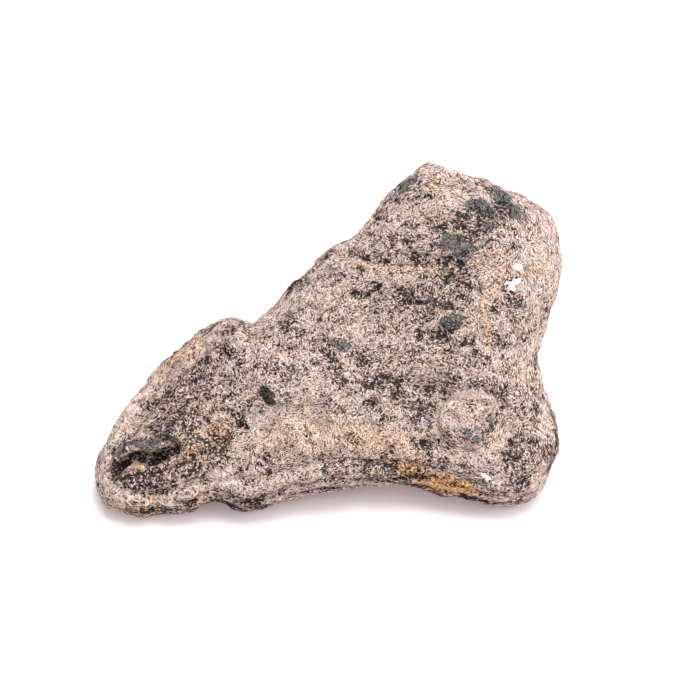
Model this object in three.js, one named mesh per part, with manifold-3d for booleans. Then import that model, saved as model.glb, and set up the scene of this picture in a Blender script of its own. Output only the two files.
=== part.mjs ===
// A rough alexandrite specimen: one natural block of mica schist with dark chrysoberyl crystals grown in it.
// It is a low wedge with a thin toe on the left, a heel on the right and a high corner at the back.
// Millimetres, +Z up. The origin is on the table, at the middle of the flat spot that the stone rests on.

import * as THREE from "three";
import { ImprovedNoise } from "three/addons/math/ImprovedNoise.js";
import { mergeVertices } from "three/addons/utils/BufferGeometryUtils.js";
import Module from "manifold-3d";

// A stone has no square faces to measure from, so its broad face is given as it is seen from one viewpoint.
// A seen place is [across, up], in millimetres at the depth of the view's middle.
const VIEW_ELEVATION = THREE.MathUtils.degToRad(50);
const VIEW_DISTANCE = 389;
const VIEW_MIDDLE = new THREE.Vector3(0, 0, 15);

// The stone's widest line, clockwise as it is seen: [across, up, height above the table].
const RIM = [
  // round the toe
  [-50.8, -23.6, 4], [-50.8, -26.4, 3.4], [-50.2, -29.4, 2.8], [-49, -31.2, 2.4], [-46.6, -32.2, 2.2],
  [-44, -33.2, 2], [-41.4, -33.5, 1.8], [-39.8, -33, 1.8], [-39, -32.5, 2], [-36.8, -32.9, 1.8],
  // along the front, over its two notches
  [-34, -32.5, 2], [-30.6, -32.2, 2.2], [-29.6, -30.8, 3.2], [-27, -30.5, 3.5], [-24.2, -30.8, 3.2],
  [-22.8, -32.1, 2.2], [-20, -32.5, 2], [-17.6, -32.1, 2.2], [-14.8, -30.8, 2.8], [-11.6, -29.7, 3.2],
  [-8, -29.3, 3.2], [-6, -28.6, 3.6], [-1, -28.4, 3.6], [0.6, -28.1, 4], [1.6, -27.4, 4.5],
  [4.8, -27.2, 4.5], [7.6, -26.7, 4.5], [11.2, -26.8, 4], [14.8, -27.4, 3.6], [18.4, -28.4, 3],
  // under and round the heel
  [22, -29.8, 2.4], [25.6, -30.8, 2.2], [29.2, -31.2, 2], [33, -30.8, 2.2], [36, -30.1, 2.6],
  [37.8, -29.2, 3.2], [38.8, -27, 4], [40, -24.2, 5], [41.2, -21, 6], [41.6, -18.4, 7], [41.2, -15.6, 8],
  // up the right side, in at its waist
  [40.2, -11.6, 9], [39, -8.4, 10], [38, -5, 11], [37.9, -0.4, 12], [39, 4.2, 13.5], [40.4, 7.2, 14.5],
  [41, 10.4, 15.2], [42, 16, 16.5], [41.9, 21, 17.5], [41.2, 24.8, 18.5], [39.6, 27.6, 20],
  // over the back to the high corner
  [36, 30.1, 22], [31, 32.6, 24.5], [24, 35.1, 27], [19, 36.6, 28], [15.6, 37.6, 28.5], [13.8, 36.8, 28.5],
  // down the long left edge, over its ledges
  [10.4, 34.1, 27.5], [7.4, 31.2, 26.5], [4.2, 27.6, 25], [2.2, 24.2, 23.8], [-0.4, 21.8, 22.8],
  [-4, 19.8, 22], [-6.4, 18.2, 21.3], [-8.8, 15.4, 20.3], [-10.8, 14, 19.8], [-12.4, 13.8, 19.6],
  [-13.6, 11.2, 18.6], [-16.4, 8.2, 17.6], [-19.6, 5.8, 16.8], [-21.4, 6.1, 16.6], [-24, 6.4, 16.4],
  [-26.8, 5.3, 15.6], [-29.8, 4, 14.4], [-33.2, 1.4, 12.8], [-36.4, -0.8, 11.4], [-39.1, -2.8, 10.2],
  [-40.8, -5.4, 9.2], [-42.5, -7.7, 8.4], [-45.2, -11.2, 7.2], [-47.8, -15.4, 6], [-49.4, -19.2, 5],
  [-50.4, -21.6, 4.4],
];
const SAMPLES_PER_RIM_POINT = 2;

// How the side leaves the rim: the steepness that it settles to, and the length over which it turns.
const SIDE_ABOVE_RIM = { slope: 0.84, turn: 1.6 };
const SIDE_BELOW_RIM = { slope: 0.4, extraFrontAndBack: 0.22, turn: 3 };

// The flat breaks that bound the stone's upper side, each with the seen place and height it passes through.
const TOP_BREAKS = [
  { name: "broad face", at: [-4, -24, 9.3], normal: [0, -0.342, 0.94] },
  { name: "toe", at: [-38, -20, 10], normal: [-0.14, -0.3, 0.94] },
  { name: "right face", at: [30, 20, 26], normal: [0.46, -0.1, 0.88] },
  { name: "heel face", at: [30, -15, 14.2], normal: [0.36, -0.44, 0.82] },
];

// The breaks that cut its foot back behind, each through a place in the stone's own frame.
const FOOT_BREAKS = [
  { name: "high corner's foot", through: [15, 40, 13], normal: [-0.15, 0.85, -0.5] },
  { name: "right foot", through: [42, 18, 5], normal: [0.8, 0.15, -0.58] },
  { name: "long left foot", through: [-16, 16, 6], normal: [-0.6, 0.62, -0.5] },
];
const TOP_ROUNDING = 3.4;
const SIDE_ROUNDING = 1.8;
const FOOT_ROUNDING = 1.6;

// What stands out of the viewed side, or is sunk in it: [across, up], half sizes, turn in degrees, height.
const RELIEF = [
  { name: "belly", at: [-11, -15], size: [17, 8], turn: 8, height: 1.1 },
  { name: "knob", at: [23.2, -13.4], size: [6.2, 5.4], turn: 20, height: 2, flat: true },
  { name: "toe swell", at: [-39.5, -17], size: [8.5, 3.2], turn: 18, height: 1 },
  { name: "end of the toe's pit", at: [-46.6, -23.6], size: [2.2, 1.8], turn: 0, height: -1.2 },
  { name: "hollow behind the toe", at: [-36, -10], size: [5, 3], turn: 50, height: -0.7 },
  { name: "lump on the left edge", at: [-24, 4], size: [4.5, 2], turn: 8, height: 0.8 },
  { name: "shelf across the waist", at: [14, 14.4], size: [13, 2.2], turn: -6, height: 0.9 },
  { name: "upper swell", at: [20, 27], size: [13, 6], turn: -18, height: 0.9 },
  { name: "hollow in the middle", at: [4, 4], size: [8, 4], turn: 20, height: -0.6 },
  { name: "hollow over the heel", at: [14, -9], size: [5, 4], turn: -40, height: -0.7 },
  { name: "heel's lower lump", at: [31, -23], size: [5, 4], turn: 0, height: 0.8 },
  { name: "heel's right lump", at: [36, -13], size: [3, 4], turn: 0, height: 0.7 },
  { name: "dark pit in the middle", at: [-2.6, -4.6], size: [2.2, 1.8], turn: 0, height: -0.6 },
  { name: "dark pit by the crystals", at: [18.4, 3], size: [2.6, 2], turn: -20, height: -0.7 },
];

// Grooves and narrow ridges: the line that each follows as it is seen, its half width and its height.
const LINES = [
  {
    name: "groove inside the toe's foliated edge",
    along: [[-29, 2], [-33, -2.4], [-37, -5.6], [-40, -10], [-42.4, -14], [-47.6, -20]],
    width: 0.9,
    height: -0.8,
  },
  {
    name: "pit under the toe's crystal",
    along: [[-47.6, -23.8], [-43, -21.6], [-37, -20.4], [-34.4, -18.8]],
    width: 1.2,
    height: -2,
  },
  {
    name: "groove over the front's foliated edge",
    along: [[-47, -27.4], [-40, -29], [-31, -26.6], [-18, -25.4], [-4, -22], [10, -22.4], [18, -24], [26, -27]],
    width: 0.9,
    height: -0.8,
  },
  { name: "groove over the shelf", along: [[-1, 19.6], [10, 18.2], [25, 16.8]], width: 1, height: -0.9 },
  { name: "break by the right face", along: [[34, 30], [30, 22], [26, 17], [24, 4]], width: 2.2, height: 0.4 },
  { name: "blade crystal", along: [[23.2, 3], [24.8, -0.4], [26.4, -4]], width: 0.8, height: 0.6 },
  { name: "groove beside the heel", along: [[31, -6], [30, -13], [33, -21]], width: 1.1, height: -0.7 },
];

// Dark chrysoberyl tablets that the break left bare: half sizes, turn, lean and how far they stand out.
const CRYSTALS = [
  { name: "toe slab", at: [-39.6, -16.6], size: [5.4, 2.3], turn: 18, lean: [-3, 2], out: 0.2 },
  { name: "black wedge", at: [-16.6, -9.4], size: [2.4, 1.3], turn: -60, lean: [6, 0], out: 0.25 },
  { name: "crescent", at: [-13, -9.6], size: [1.8, 1.2], turn: 20, lean: [-5, 5], out: 0.3 },
  { name: "largest green one", at: [21, 21], size: [2.7, 1.6], turn: -25, lean: [4, -8], out: 0.4 },
  { name: "upper right one", at: [32, 28.4], size: [2.1, 1.6], turn: 10, lean: [5, 5], out: 0.35 },
  { name: "upper middle one", at: [26, 29], size: [2.2, 1.3], turn: -15, lean: [-4, 6], out: 0.3 },
  { name: "one under it", at: [28, 25], size: [1.7, 1.2], turn: 30, lean: [8, 0], out: 0.3 },
  { name: "small one beside it", at: [24.8, 23.6], size: [1.4, 1], turn: 0, lean: [0, -6], out: 0.3 },
  { name: "waist one", at: [20, 5.2], size: [1.5, 1.1], turn: 40, lean: [8, 6], out: 0.4 },
  { name: "middle one", at: [-2, 1], size: [1.7, 1.1], turn: 12, lean: [-6, 4], out: 0.3 },
  { name: "rim one", at: [11.4, 31.6], size: [2.2, 1.6], turn: 60, lean: [-4, 0], out: 0.3 },
  { name: "right face one", at: [35, 10], size: [1.9, 1.3], turn: 80, lean: [4, 4], out: 0.3 },
  { name: "one on the shelf", at: [16, 9], size: [1.4, 1], turn: -30, lean: [5, -5], out: 0.3 },
  { name: "knob's right one", at: [27, -15], size: [1.6, 1.2], turn: 70, lean: [6, -4], out: 0.3 },
  { name: "knob's lower one", at: [24.6, -18], size: [1.6, 1], turn: 15, lean: [0, -8], out: 0.3 },
  { name: "left edge one", at: [-12.6, 7.4], size: [1.5, 0.9], turn: 30, lean: [0, 8], out: 0.3 },
  { name: "one below it", at: [-17.6, 3], size: [1.4, 1], turn: -20, lean: [-6, 3], out: 0.3 },
  { name: "far side's large one", at: [6, 21], size: [2.6, 1.7], turn: 20, lean: [5, 5], out: 0.5, far: true },
  { name: "far side's left one", at: [-20, -3], size: [2, 1.4], turn: -40, lean: [-6, 4], out: 0.4, far: true },
  { name: "far side's right one", at: [26, 26], size: [2.3, 1.5], turn: 70, lean: [4, -6], out: 0.4, far: true },
  { name: "far side's toe one", at: [-40, -13], size: [1.8, 1.2], turn: 10, lean: [0, 6], out: 0.4, far: true },
];
const CRYSTAL_SIDES = 7;
const CRYSTAL_DEPTH = 1.1;
const CRYSTAL_TAPER = 0.66;
const CRYSTAL_UNEVENNESS = 0.7;

// The ground under the stone: how far the underside hangs over it, and the pads that it stands on.
const UNDERSIDE_LIFT = 1.3;
const UNDERSIDE_SWELL = { height: 1, length: 11 };

// The slices of the noise that the bends, layers, swells and crystals are read from.
const BEND_SLICE = 0.5;
const LAYER_SLICE = [7.3, 2.9];
const SWELL_SLICE = 4.2;
const CRYSTAL_SLICE = { spread: 1.7, step: 2.3 };

const PADS = [
  { name: "rest spot", at: [0, 0], radius: 7, depth: 2.6 },
  { name: "toe pad", at: [-37, -26], radius: 7, depth: 2.8 },
  { name: "front pad", at: [-19, -26], radius: 5, depth: 2.2 },
  { name: "heel pad", at: [30, -23], radius: 7, depth: 2.8 },
  { name: "back pad", at: [24, 24], radius: 8, depth: 2.6 },
];

// Weathering, from broad to fine, and the layers that the sides show. Both die out at the rim.
const WAVES = [
  { length: 15, height: 0.9 },
  { length: 7, height: 0.7 },
  { length: 4, height: 0.4 },
];
const LAYER = { thickness: 3.2, height: 1.1, bend: 12 };
const RIM_CALM = 2.4;
const HIDDEN_SIDE_ROUGHNESS = 1.9;
const VIEWED_SIDE_START = 2;

const STONE_COLOUR = 0xa39389;

// The grid that the stone's skin is first drawn over, which reaches past the stone on every side.
const CELL = 2.02;
const GRID_CORNER = new THREE.Vector3(-55, -37, -6);
const GRID_COUNT = [52, 42, 20];
const SETTLING_ROUNDS = 3;
const RELAXING_ROUNDS = 4;
const RELAXING_SHARE = 0.6;
const PROBE = 0.05;
const LEAST_SLOPE_SQUARED = 0.25;
const SIGHT_REACH = 60;
const SIGHT_STEP = 0.1;

const noise = new ImprovedNoise();
const toRight = new THREE.Vector3(1, 0, 0);
const toTop = new THREE.Vector3(0, Math.sin(VIEW_ELEVATION), Math.cos(VIEW_ELEVATION));
const toViewer = new THREE.Vector3(0, -Math.cos(VIEW_ELEVATION), Math.sin(VIEW_ELEVATION));

// The point on the line of sight through [across, up] that is that much nearer than the view's middle.
function pointOnSight(across, up, nearness) {
  const scale = (VIEW_DISTANCE - nearness) / VIEW_DISTANCE;
  return VIEW_MIDDLE.clone()
    .addScaledVector(toRight, across * scale)
    .addScaledVector(toTop, up * scale)
    .addScaledVector(toViewer, nearness);
}

// The point seen at [across, up] that lies at that height above the table.
function pointSeenAt(across, up, height) {
  const rise = toViewer.z - (up * toTop.z) / VIEW_DISTANCE;
  return pointOnSight(across, up, (height - VIEW_MIDDLE.z - up * toTop.z) / rise);
}

// Where a point is seen, how near it is to the viewer, and how much a length there is shrunk.
function seen(point) {
  const offset = point.clone().sub(VIEW_MIDDLE);
  const nearness = offset.dot(toViewer);
  const scale = (VIEW_DISTANCE - nearness) / VIEW_DISTANCE;
  return { across: offset.dot(toRight) / scale, up: offset.dot(toTop) / scale, nearness, scale };
}

// The larger of two fields, rounded over where they cross.
function roundedMax(a, b, rounding) {
  const overlap = Math.max(rounding - Math.abs(a - b), 0) / rounding;
  return Math.max(a, b) + (overlap * overlap * rounding) / 4;
}

function traceRim() {
  const curve = new THREE.CatmullRomCurve3(RIM.map((place) => pointSeenAt(...place)), true, "centripetal");
  return curve.getPoints(RIM.length * SAMPLES_PER_RIM_POINT).map(seen);
}

const rim = traceRim();

// The nearest place on a seen line: how far it is, and how far along which stretch.
function nearestOnLine(line, across, up) {
  const best = { distance: Infinity, stretch: 1, share: 0 };
  for (let i = 1; i < line.length; i++) {
    const dx = line[i].across - line[i - 1].across;
    const dy = line[i].up - line[i - 1].up;
    const x = across - line[i - 1].across;
    const y = up - line[i - 1].up;
    const share = THREE.MathUtils.clamp((x * dx + y * dy) / (dx * dx + dy * dy || 1), 0, 1);
    const distance = Math.hypot(x - share * dx, y - share * dy);
    if (distance < best.distance) Object.assign(best, { distance, stretch: i, share });
  }
  return best;
}

function isInsideRim(across, up) {
  let inside = false;
  for (let i = 1; i < rim.length; i++) {
    const a = rim[i - 1];
    const b = rim[i];
    const crosses = a.up > up !== b.up > up;
    if (crosses && across < a.across + ((up - a.up) * (b.across - a.across)) / (b.up - a.up)) inside = !inside;
  }
  return inside;
}

// A spot's distance outside the rim, its height over it toward the viewer, and the steepness below it there.
function besideRim(spot) {
  const { distance, stretch, share } = nearestOnLine(rim, spot.across, spot.up);
  const a = rim[stretch - 1];
  const b = rim[stretch];
  const facing = Math.abs(b.across - a.across) / (Math.hypot(b.across - a.across, b.up - a.up) || 1);
  const outside = isInsideRim(spot.across, spot.up) ? -distance : distance;
  return {
    outside: outside * spot.scale,
    above: spot.nearness - THREE.MathUtils.lerp(a.nearness, b.nearness, share),
    slopeBelow: SIDE_BELOW_RIM.slope + SIDE_BELOW_RIM.extraFrontAndBack * facing,
  };
}

function sideField({ outside, above, slopeBelow }) {
  const turn = above > 0 ? SIDE_ABOVE_RIM.turn : SIDE_BELOW_RIM.turn;
  const slope = above > 0 ? SIDE_ABOVE_RIM.slope : slopeBelow;
  return outside + slope * (Math.hypot(above, turn) - turn);
}

function planeThrough(point, normal) {
  return new THREE.Plane().setFromNormalAndCoplanarPoint(new THREE.Vector3(...normal).normalize(), point);
}

const topPlanes = TOP_BREAKS.map((flat) => planeThrough(pointSeenAt(...flat.at), flat.normal));
const footPlanes = FOOT_BREAKS.map((flat) => planeThrough(new THREE.Vector3(...flat.through), flat.normal));
const lines = LINES.map((line) => ({ ...line, along: line.along.map(([across, up]) => ({ across, up })) }));

function bumpAt(shape, across, up) {
  const turn = THREE.MathUtils.degToRad(shape.turn);
  const x = across - shape.at[0];
  const y = up - shape.at[1];
  const along = (x * Math.cos(turn) + y * Math.sin(turn)) / shape.size[0];
  const over = (-x * Math.sin(turn) + y * Math.cos(turn)) / shape.size[1];
  const reach = along * along + over * over;
  return shape.height * (shape.flat ? 1 / (1 + reach ** 3) : Math.exp(-reach));
}

function reliefAt(across, up) {
  const bumps = RELIEF.reduce((sum, shape) => sum + bumpAt(shape, across, up), 0);
  const fall = (line) => nearestOnLine(line.along, across, up).distance / line.width;
  return lines.reduce((sum, line) => sum + line.height * Math.exp(-(fall(line) ** 2)), bumps);
}

function weathering(point) {
  return WAVES.reduce(
    (sum, wave) =>
      sum + wave.height * noise.noise(point.x / wave.length, point.y / wave.length, point.z / wave.length),
    0,
  );
}

function layering(point) {
  const bend = noise.noise(point.x / LAYER.bend, point.y / LAYER.bend, BEND_SLICE);
  const level = -topPlanes[0].distanceToPoint(point) / LAYER.thickness + bend;
  return LAYER.height * noise.noise(level, ...LAYER_SLICE);
}

function undersideField(point) {
  const { height, length } = UNDERSIDE_SWELL;
  const swell = height * noise.noise(point.x / length, point.y / length, SWELL_SLICE);
  const reach = (pad) => Math.hypot(point.x - pad.at[0], point.y - pad.at[1]) / pad.radius;
  const pads = PADS.reduce((sum, pad) => sum + pad.depth * Math.exp(-(reach(pad) ** 2)), 0);
  return UNDERSIDE_LIFT + swell - pads - point.z;
}

const farthest = (planes, point, rounding, start) =>
  planes.reduce((sum, plane) => roundedMax(sum, plane.distanceToPoint(point), rounding), start);

// Below zero inside the stone, and about the distance to its surface near it.
function stoneField(point) {
  const spot = seen(point);
  const beside = besideRim(spot);
  const calm = 1 - Math.exp(-(beside.outside ** 2 + beside.above ** 2) / RIM_CALM ** 2);
  const viewed = THREE.MathUtils.smoothstep(beside.above, 0, VIEWED_SIDE_START);
  const top = farthest(topPlanes, point, TOP_ROUNDING, -Infinity);
  const sides = farthest(footPlanes, point, SIDE_ROUNDING, sideField(beside)) - calm * layering(point);
  const roughness = THREE.MathUtils.lerp(HIDDEN_SIDE_ROUGHNESS, 1, viewed);
  const relief = calm * roughness * weathering(point) + viewed * reliefAt(spot.across, spot.up);
  const body = roundedMax(top, sides, SIDE_ROUNDING) - relief;
  return roundedMax(body, undersideField(point), FOOT_ROUNDING);
}

function slopeOf(point) {
  const step = (x, y, z) => stoneField(point.clone().add(new THREE.Vector3(x, y, z)));
  return new THREE.Vector3(
    step(PROBE, 0, 0) - step(-PROBE, 0, 0),
    step(0, PROBE, 0) - step(0, -PROBE, 0),
    step(0, 0, PROBE) - step(0, 0, -PROBE),
  ).divideScalar(2 * PROBE);
}

// Slides a point that left the surface back to it, along the field's slope.
function settle(point) {
  const slope = slopeOf(point);
  const step = THREE.MathUtils.clamp(stoneField(point) / Math.max(slope.lengthSq(), LEAST_SLOPE_SQUARED), -1, 1);
  return point.addScaledVector(slope, -step);
}

const cornerAt = (i, j, k) => new THREE.Vector3(i, j, k).multiplyScalar(CELL).add(GRID_CORNER);
const cornerIndex = (i, j, k) => (k * GRID_COUNT[1] + j) * GRID_COUNT[0] + i;

function sampleGrid() {
  const values = [];
  for (let k = 0; k < GRID_COUNT[2]; k++)
    for (let j = 0; j < GRID_COUNT[1]; j++)
      for (let i = 0; i < GRID_COUNT[0]; i++) values.push(stoneField(cornerAt(i, j, k)));
  return values;
}

// The middle of the places where the surface crosses a cell's twelve edges, or nothing where it misses it.
function crossingIn(values, cell) {
  const middle = new THREE.Vector3();
  let found = 0;
  for (let corner = 0; corner < 8; corner++) {
    const start = [cell[0] + (corner & 1), cell[1] + ((corner >> 1) & 1), cell[2] + ((corner >> 2) & 1)];
    for (let axis = 0; axis < 3; axis++) {
      if ((corner >> axis) & 1) continue;
      const end = start.map((place, n) => place + (n === axis ? 1 : 0));
      const a = values[cornerIndex(...start)];
      const b = values[cornerIndex(...end)];
      if (a < 0 === b < 0) continue;
      middle.add(cornerAt(...start).lerp(cornerAt(...end), a / (a - b)));
      found += 1;
    }
  }
  return found ? middle.divideScalar(found) : null;
}

// Joins the crossings of the four cells round every grid edge that the surface cuts.
function drawSkin() {
  const values = sampleGrid();
  const places = [];
  const made = new Map();
  const vertexIn = (cell) => {
    const key = cornerIndex(...cell);
    if (!made.has(key)) {
      made.set(key, places.length / 3);
      places.push(...crossingIn(values, cell));
    }
    return made.get(key);
  };
  const triangles = [];
  for (let k = 1; k < GRID_COUNT[2] - 1; k++)
    for (let j = 1; j < GRID_COUNT[1] - 1; j++)
      for (let i = 1; i < GRID_COUNT[0] - 1; i++)
        for (let axis = 0; axis < 3; axis++) {
          const here = [i, j, k];
          const shifted = (...axes) => here.map((place, n) => place - (axes.includes(n) ? 1 : 0));
          const ahead = here.map((place, n) => place + (n === axis ? 1 : 0));
          const leaves = values[cornerIndex(...here)] < 0;
          if (leaves === values[cornerIndex(...ahead)] < 0) continue;
          const b = (axis + 1) % 3;
          const c = (axis + 2) % 3;
          const round = [shifted(b, c), shifted(c), here, shifted(b)].map(vertexIn);
          if (!leaves) round.reverse();
          triangles.push(round[0], round[1], round[2], round[0], round[2], round[3]);
        }
  const skin = new THREE.BufferGeometry();
  skin.setAttribute("position", new THREE.Float32BufferAttribute(places, 3));
  return skin.setIndex(triangles);
}

function neighboursOf(geometry) {
  const near = Array.from({ length: geometry.getAttribute("position").count }, () => new Set());
  const { array } = geometry.index;
  for (let i = 0; i < array.length; i += 3) {
    const corners = [array[i], array[i + 1], array[i + 2]];
    corners.forEach((corner, n) => near[corner].add(corners[(n + 1) % 3]));
  }
  return near.map((set) => [...set]);
}

function moveEach(geometry, move) {
  const places = geometry.getAttribute("position");
  const at = (i) => new THREE.Vector3().fromBufferAttribute(places, i);
  const moved = Array.from({ length: places.count }, (_, i) => move(at(i), i, at));
  moved.forEach((place, i) => places.setXYZ(i, place.x, place.y, place.z));
}

// Evens the triangles out along the surface, then lays every vertex on it.
function relax(geometry) {
  const near = neighboursOf(geometry);
  const toMiddle = (place, i, at) => {
    const middle = near[i].reduce((sum, other) => sum.add(at(other)), new THREE.Vector3());
    return settle(place.lerp(middle.divideScalar(near[i].length), RELAXING_SHARE));
  };
  for (let round = 0; round < RELAXING_ROUNDS; round++) moveEach(geometry, toMiddle);
  for (let round = 0; round < SETTLING_ROUNDS; round++) moveEach(geometry, settle);
}

// Presses the pads flat against the table.
function seat(geometry) {
  const places = geometry.getAttribute("position");
  for (let i = 0; i < places.count; i++) places.setZ(i, Math.max(places.getZ(i), 0));
}

// Walks along the line of sight through [across, up] until it meets the stone.
function surfaceSeenAt([across, up], far) {
  const side = far ? -1 : 1;
  let nearness = side * SIGHT_REACH;
  while (stoneField(pointOnSight(across, up, nearness)) > 0) nearness -= side * SIGHT_STEP;
  return pointOnSight(across, up, nearness);
}

// Pulls the tablet's corners in and out, by the same share at both ends.
function makeUneven(tablet, seed) {
  const places = tablet.getAttribute("position");
  for (let i = 0; i < places.count; i++) {
    const turn = Math.atan2(places.getX(i), places.getZ(i));
    const { spread, step } = CRYSTAL_SLICE;
    const wander = noise.noise(Math.cos(turn) * spread, Math.sin(turn) * spread, seed * step);
    const pull = 1 + CRYSTAL_UNEVENNESS * wander;
    places.setXYZ(i, places.getX(i) * pull, places.getY(i), places.getZ(i) * pull);
  }
  return tablet;
}

// A tablet with bevelled sides, sunk in the stone so that its flat end just stands out.
function makeCrystal(crystal, seed) {
  const [length, width] = crystal.size;
  const geometry = new THREE.CylinderGeometry(CRYSTAL_TAPER, 1, CRYSTAL_DEPTH, CRYSTAL_SIDES);
  geometry.deleteAttribute("normal");
  geometry.deleteAttribute("uv");
  const tablet = makeUneven(mergeVertices(geometry), seed);
  tablet.rotateX(Math.PI / 2).translate(0, 0, -CRYSTAL_DEPTH / 2).scale(length, width, 1);
  tablet.rotateZ(THREE.MathUtils.degToRad(crystal.turn));
  tablet.rotateX(THREE.MathUtils.degToRad(crystal.lean[0])).rotateY(THREE.MathUtils.degToRad(crystal.lean[1]));
  const place = surfaceSeenAt(crystal.at, crystal.far);
  const outward = slopeOf(place).normalize();
  const sideways = toRight.clone().addScaledVector(outward, -toRight.dot(outward)).normalize();
  const upward = outward.clone().cross(sideways);
  place.addScaledVector(outward, crystal.out);
  return tablet.applyMatrix4(new THREE.Matrix4().makeBasis(sideways, upward, outward).setPosition(place));
}

const library = await Module();
library.setup();
const { Manifold, Mesh } = library;

function toSolid(geometry) {
  const vertProperties = Float32Array.from(geometry.getAttribute("position").array);
  return new Manifold(new Mesh({ numProp: 3, vertProperties, triVerts: Uint32Array.from(geometry.index.array) }));
}

function toGeometry(solid) {
  const { vertProperties, triVerts, numProp } = solid.getMesh();
  const places = [];
  for (let i = 0; i < vertProperties.length; i += numProp) places.push(...vertProperties.slice(i, i + 3));
  const geometry = new THREE.BufferGeometry();
  geometry.setAttribute("position", new THREE.Float32BufferAttribute(places, 3));
  return geometry.setIndex([...triVerts]);
}

function buildStone() {
  const rock = drawSkin();
  relax(rock);
  seat(rock);
  const crystals = CRYSTALS.map(makeCrystal).map(toSolid);
  const geometry = toGeometry(Manifold.union([toSolid(rock), ...crystals]));
  geometry.computeVertexNormals();
  const material = new THREE.MeshStandardMaterial({ color: STONE_COLOUR, roughness: 0.85, metalness: 0 });
  const stone = new THREE.Mesh(geometry, material);
  stone.name = "alexandrite_specimen";
  return stone;
}

const specimen = new THREE.Group();
specimen.add(buildStone());

export default specimen;
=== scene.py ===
"""A rough alexandrite specimen: matted mica schist with dark chrysoberyl crystals grown in its faces.

The stone's skin is drawn over the solid's own shape, carved finer and stained, with painted shade and painted
highlights in places. Its crystals get flat faces, and its bare parts round grains. Loose-edged mica flakes
are then laid over it by Geometry Nodes. Sizes are in millimetres until a mesh is made.
"""

import logging
import math
from dataclasses import dataclass
from enum import Enum

import bmesh
import bpy
import numpy as np
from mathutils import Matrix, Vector, noise

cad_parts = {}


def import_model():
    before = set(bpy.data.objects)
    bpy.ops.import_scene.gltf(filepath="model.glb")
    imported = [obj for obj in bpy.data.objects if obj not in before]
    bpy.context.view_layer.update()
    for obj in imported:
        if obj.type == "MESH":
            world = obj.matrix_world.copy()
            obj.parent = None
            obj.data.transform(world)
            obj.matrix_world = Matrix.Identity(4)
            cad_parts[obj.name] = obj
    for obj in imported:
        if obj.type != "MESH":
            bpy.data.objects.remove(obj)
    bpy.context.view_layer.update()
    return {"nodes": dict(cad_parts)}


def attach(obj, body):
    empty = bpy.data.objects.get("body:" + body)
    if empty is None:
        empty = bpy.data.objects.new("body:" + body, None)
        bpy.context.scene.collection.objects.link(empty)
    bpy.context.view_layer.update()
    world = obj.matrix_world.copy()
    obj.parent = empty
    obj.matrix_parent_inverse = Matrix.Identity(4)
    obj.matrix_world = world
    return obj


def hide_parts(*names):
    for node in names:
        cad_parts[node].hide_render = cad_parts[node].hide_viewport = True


Colour = tuple[float, float, float]
Place = tuple[float, float]

NODE = "alexandrite_specimen"
MM = 0.001
# How many times brighter than its own colour a level surface shows
STUDIO_LIGHT = 1.2
# The direction across the rock's thin layers
FOLIATION = np.array([0.0, -0.342, 0.94])
# The size of the swirls in which the mica lies, and how much it follows them and the rock's layers
SWIRL_LENGTH = 6.5
SWIRL_PULL = 2.4
LAYER_PULL = 2.6
# The size of the fine specks that break edges and colours up
SPECK = 0.9
# What the skin's points hold besides their markings: how light they are, painted shade and highlights
# included, and their share of black crystal
LIGHT = "light"
CRYSTAL = "crystal"
# What each loose flake holds: its place between its finish's colours
TONE = "tone"

log = logging.getLogger("alexandrite")


def lit(red: int, green: int, blue: int) -> Colour:
    """Find the colour that shows as the given one under the studio's light.

    Args:
        red: The red part as it shows, from 0 to 255.
        green: The green part as it shows, from 0 to 255.
        blue: The blue part as it shows, from 0 to 255.

    Returns:
        The surface's own colour in linear light.
    """
    return tuple(part / STUDIO_LIGHT for part in linear(red, green, blue))


def linear(red: int, green: int, blue: int) -> Colour:
    """Turn a colour as a screen shows it into the renderer's own scale.

    Args:
        red: The red part, from 0 to 255.
        green: The green part, from 0 to 255.
        blue: The blue part, from 0 to 255.

    Returns:
        The same colour in linear light.
    """
    parts = [value / 255 for value in (red, green, blue)]
    return tuple(p / 12.92 if p <= 0.04045 else ((p + 0.055) / 1.055) ** 2.4 for p in parts)


@dataclass(frozen=True)
class Viewpoint:
    """The photograph's viewpoint. A seen place is [across, up] from the view's middle, at its depth.

    Attributes:
        elevation_deg: How far above the table the camera looks down from.
        distance: From the camera to the view's middle.
        middle_height: The height of the view's middle above the table.
        lens: The camera's focal length on a full-size sensor.
    """

    elevation_deg: float = 50.0
    distance: float = 389.0
    middle_height: float = 15.0
    lens: float = 100.0

    @property
    def toward(self) -> np.ndarray:
        """The direction from the stone toward the camera."""
        angle = math.radians(self.elevation_deg)
        return np.array([0.0, -math.cos(angle), math.sin(angle)])

    @property
    def upward(self) -> np.ndarray:
        """The direction that runs up the picture."""
        angle = math.radians(self.elevation_deg)
        return np.array([0.0, math.sin(angle), math.cos(angle)])

    def seen(self, places: np.ndarray) -> np.ndarray:
        """Find where places are seen.

        Args:
            places: One row for each place, in millimetres.

        Returns:
            One row for each place: across and up.
        """
        offset = places - np.array([0.0, 0.0, self.middle_height])
        scale = self.distance / (self.distance - offset @ self.toward)
        return np.stack([offset[:, 0] * scale, (offset @ self.upward) * scale], axis=1)


VIEW = Viewpoint()


class Marking(Enum):
    """What a marking does to the rock. The value names the attribute that holds it.

    The dark and pale ones shift its lightness: the rock's own mottling and, in places, painted shade and
    painted highlights. TAN, RUST, STEEL and WHITE turn its colour. BARE parts have round grains and few loose
    flakes.
    """

    DARK = "dark"
    PALE = "pale"
    TAN = "tan"
    RUST = "rust"
    STEEL = "steel"
    WHITE = "white"
    BARE = "bare"


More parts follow.
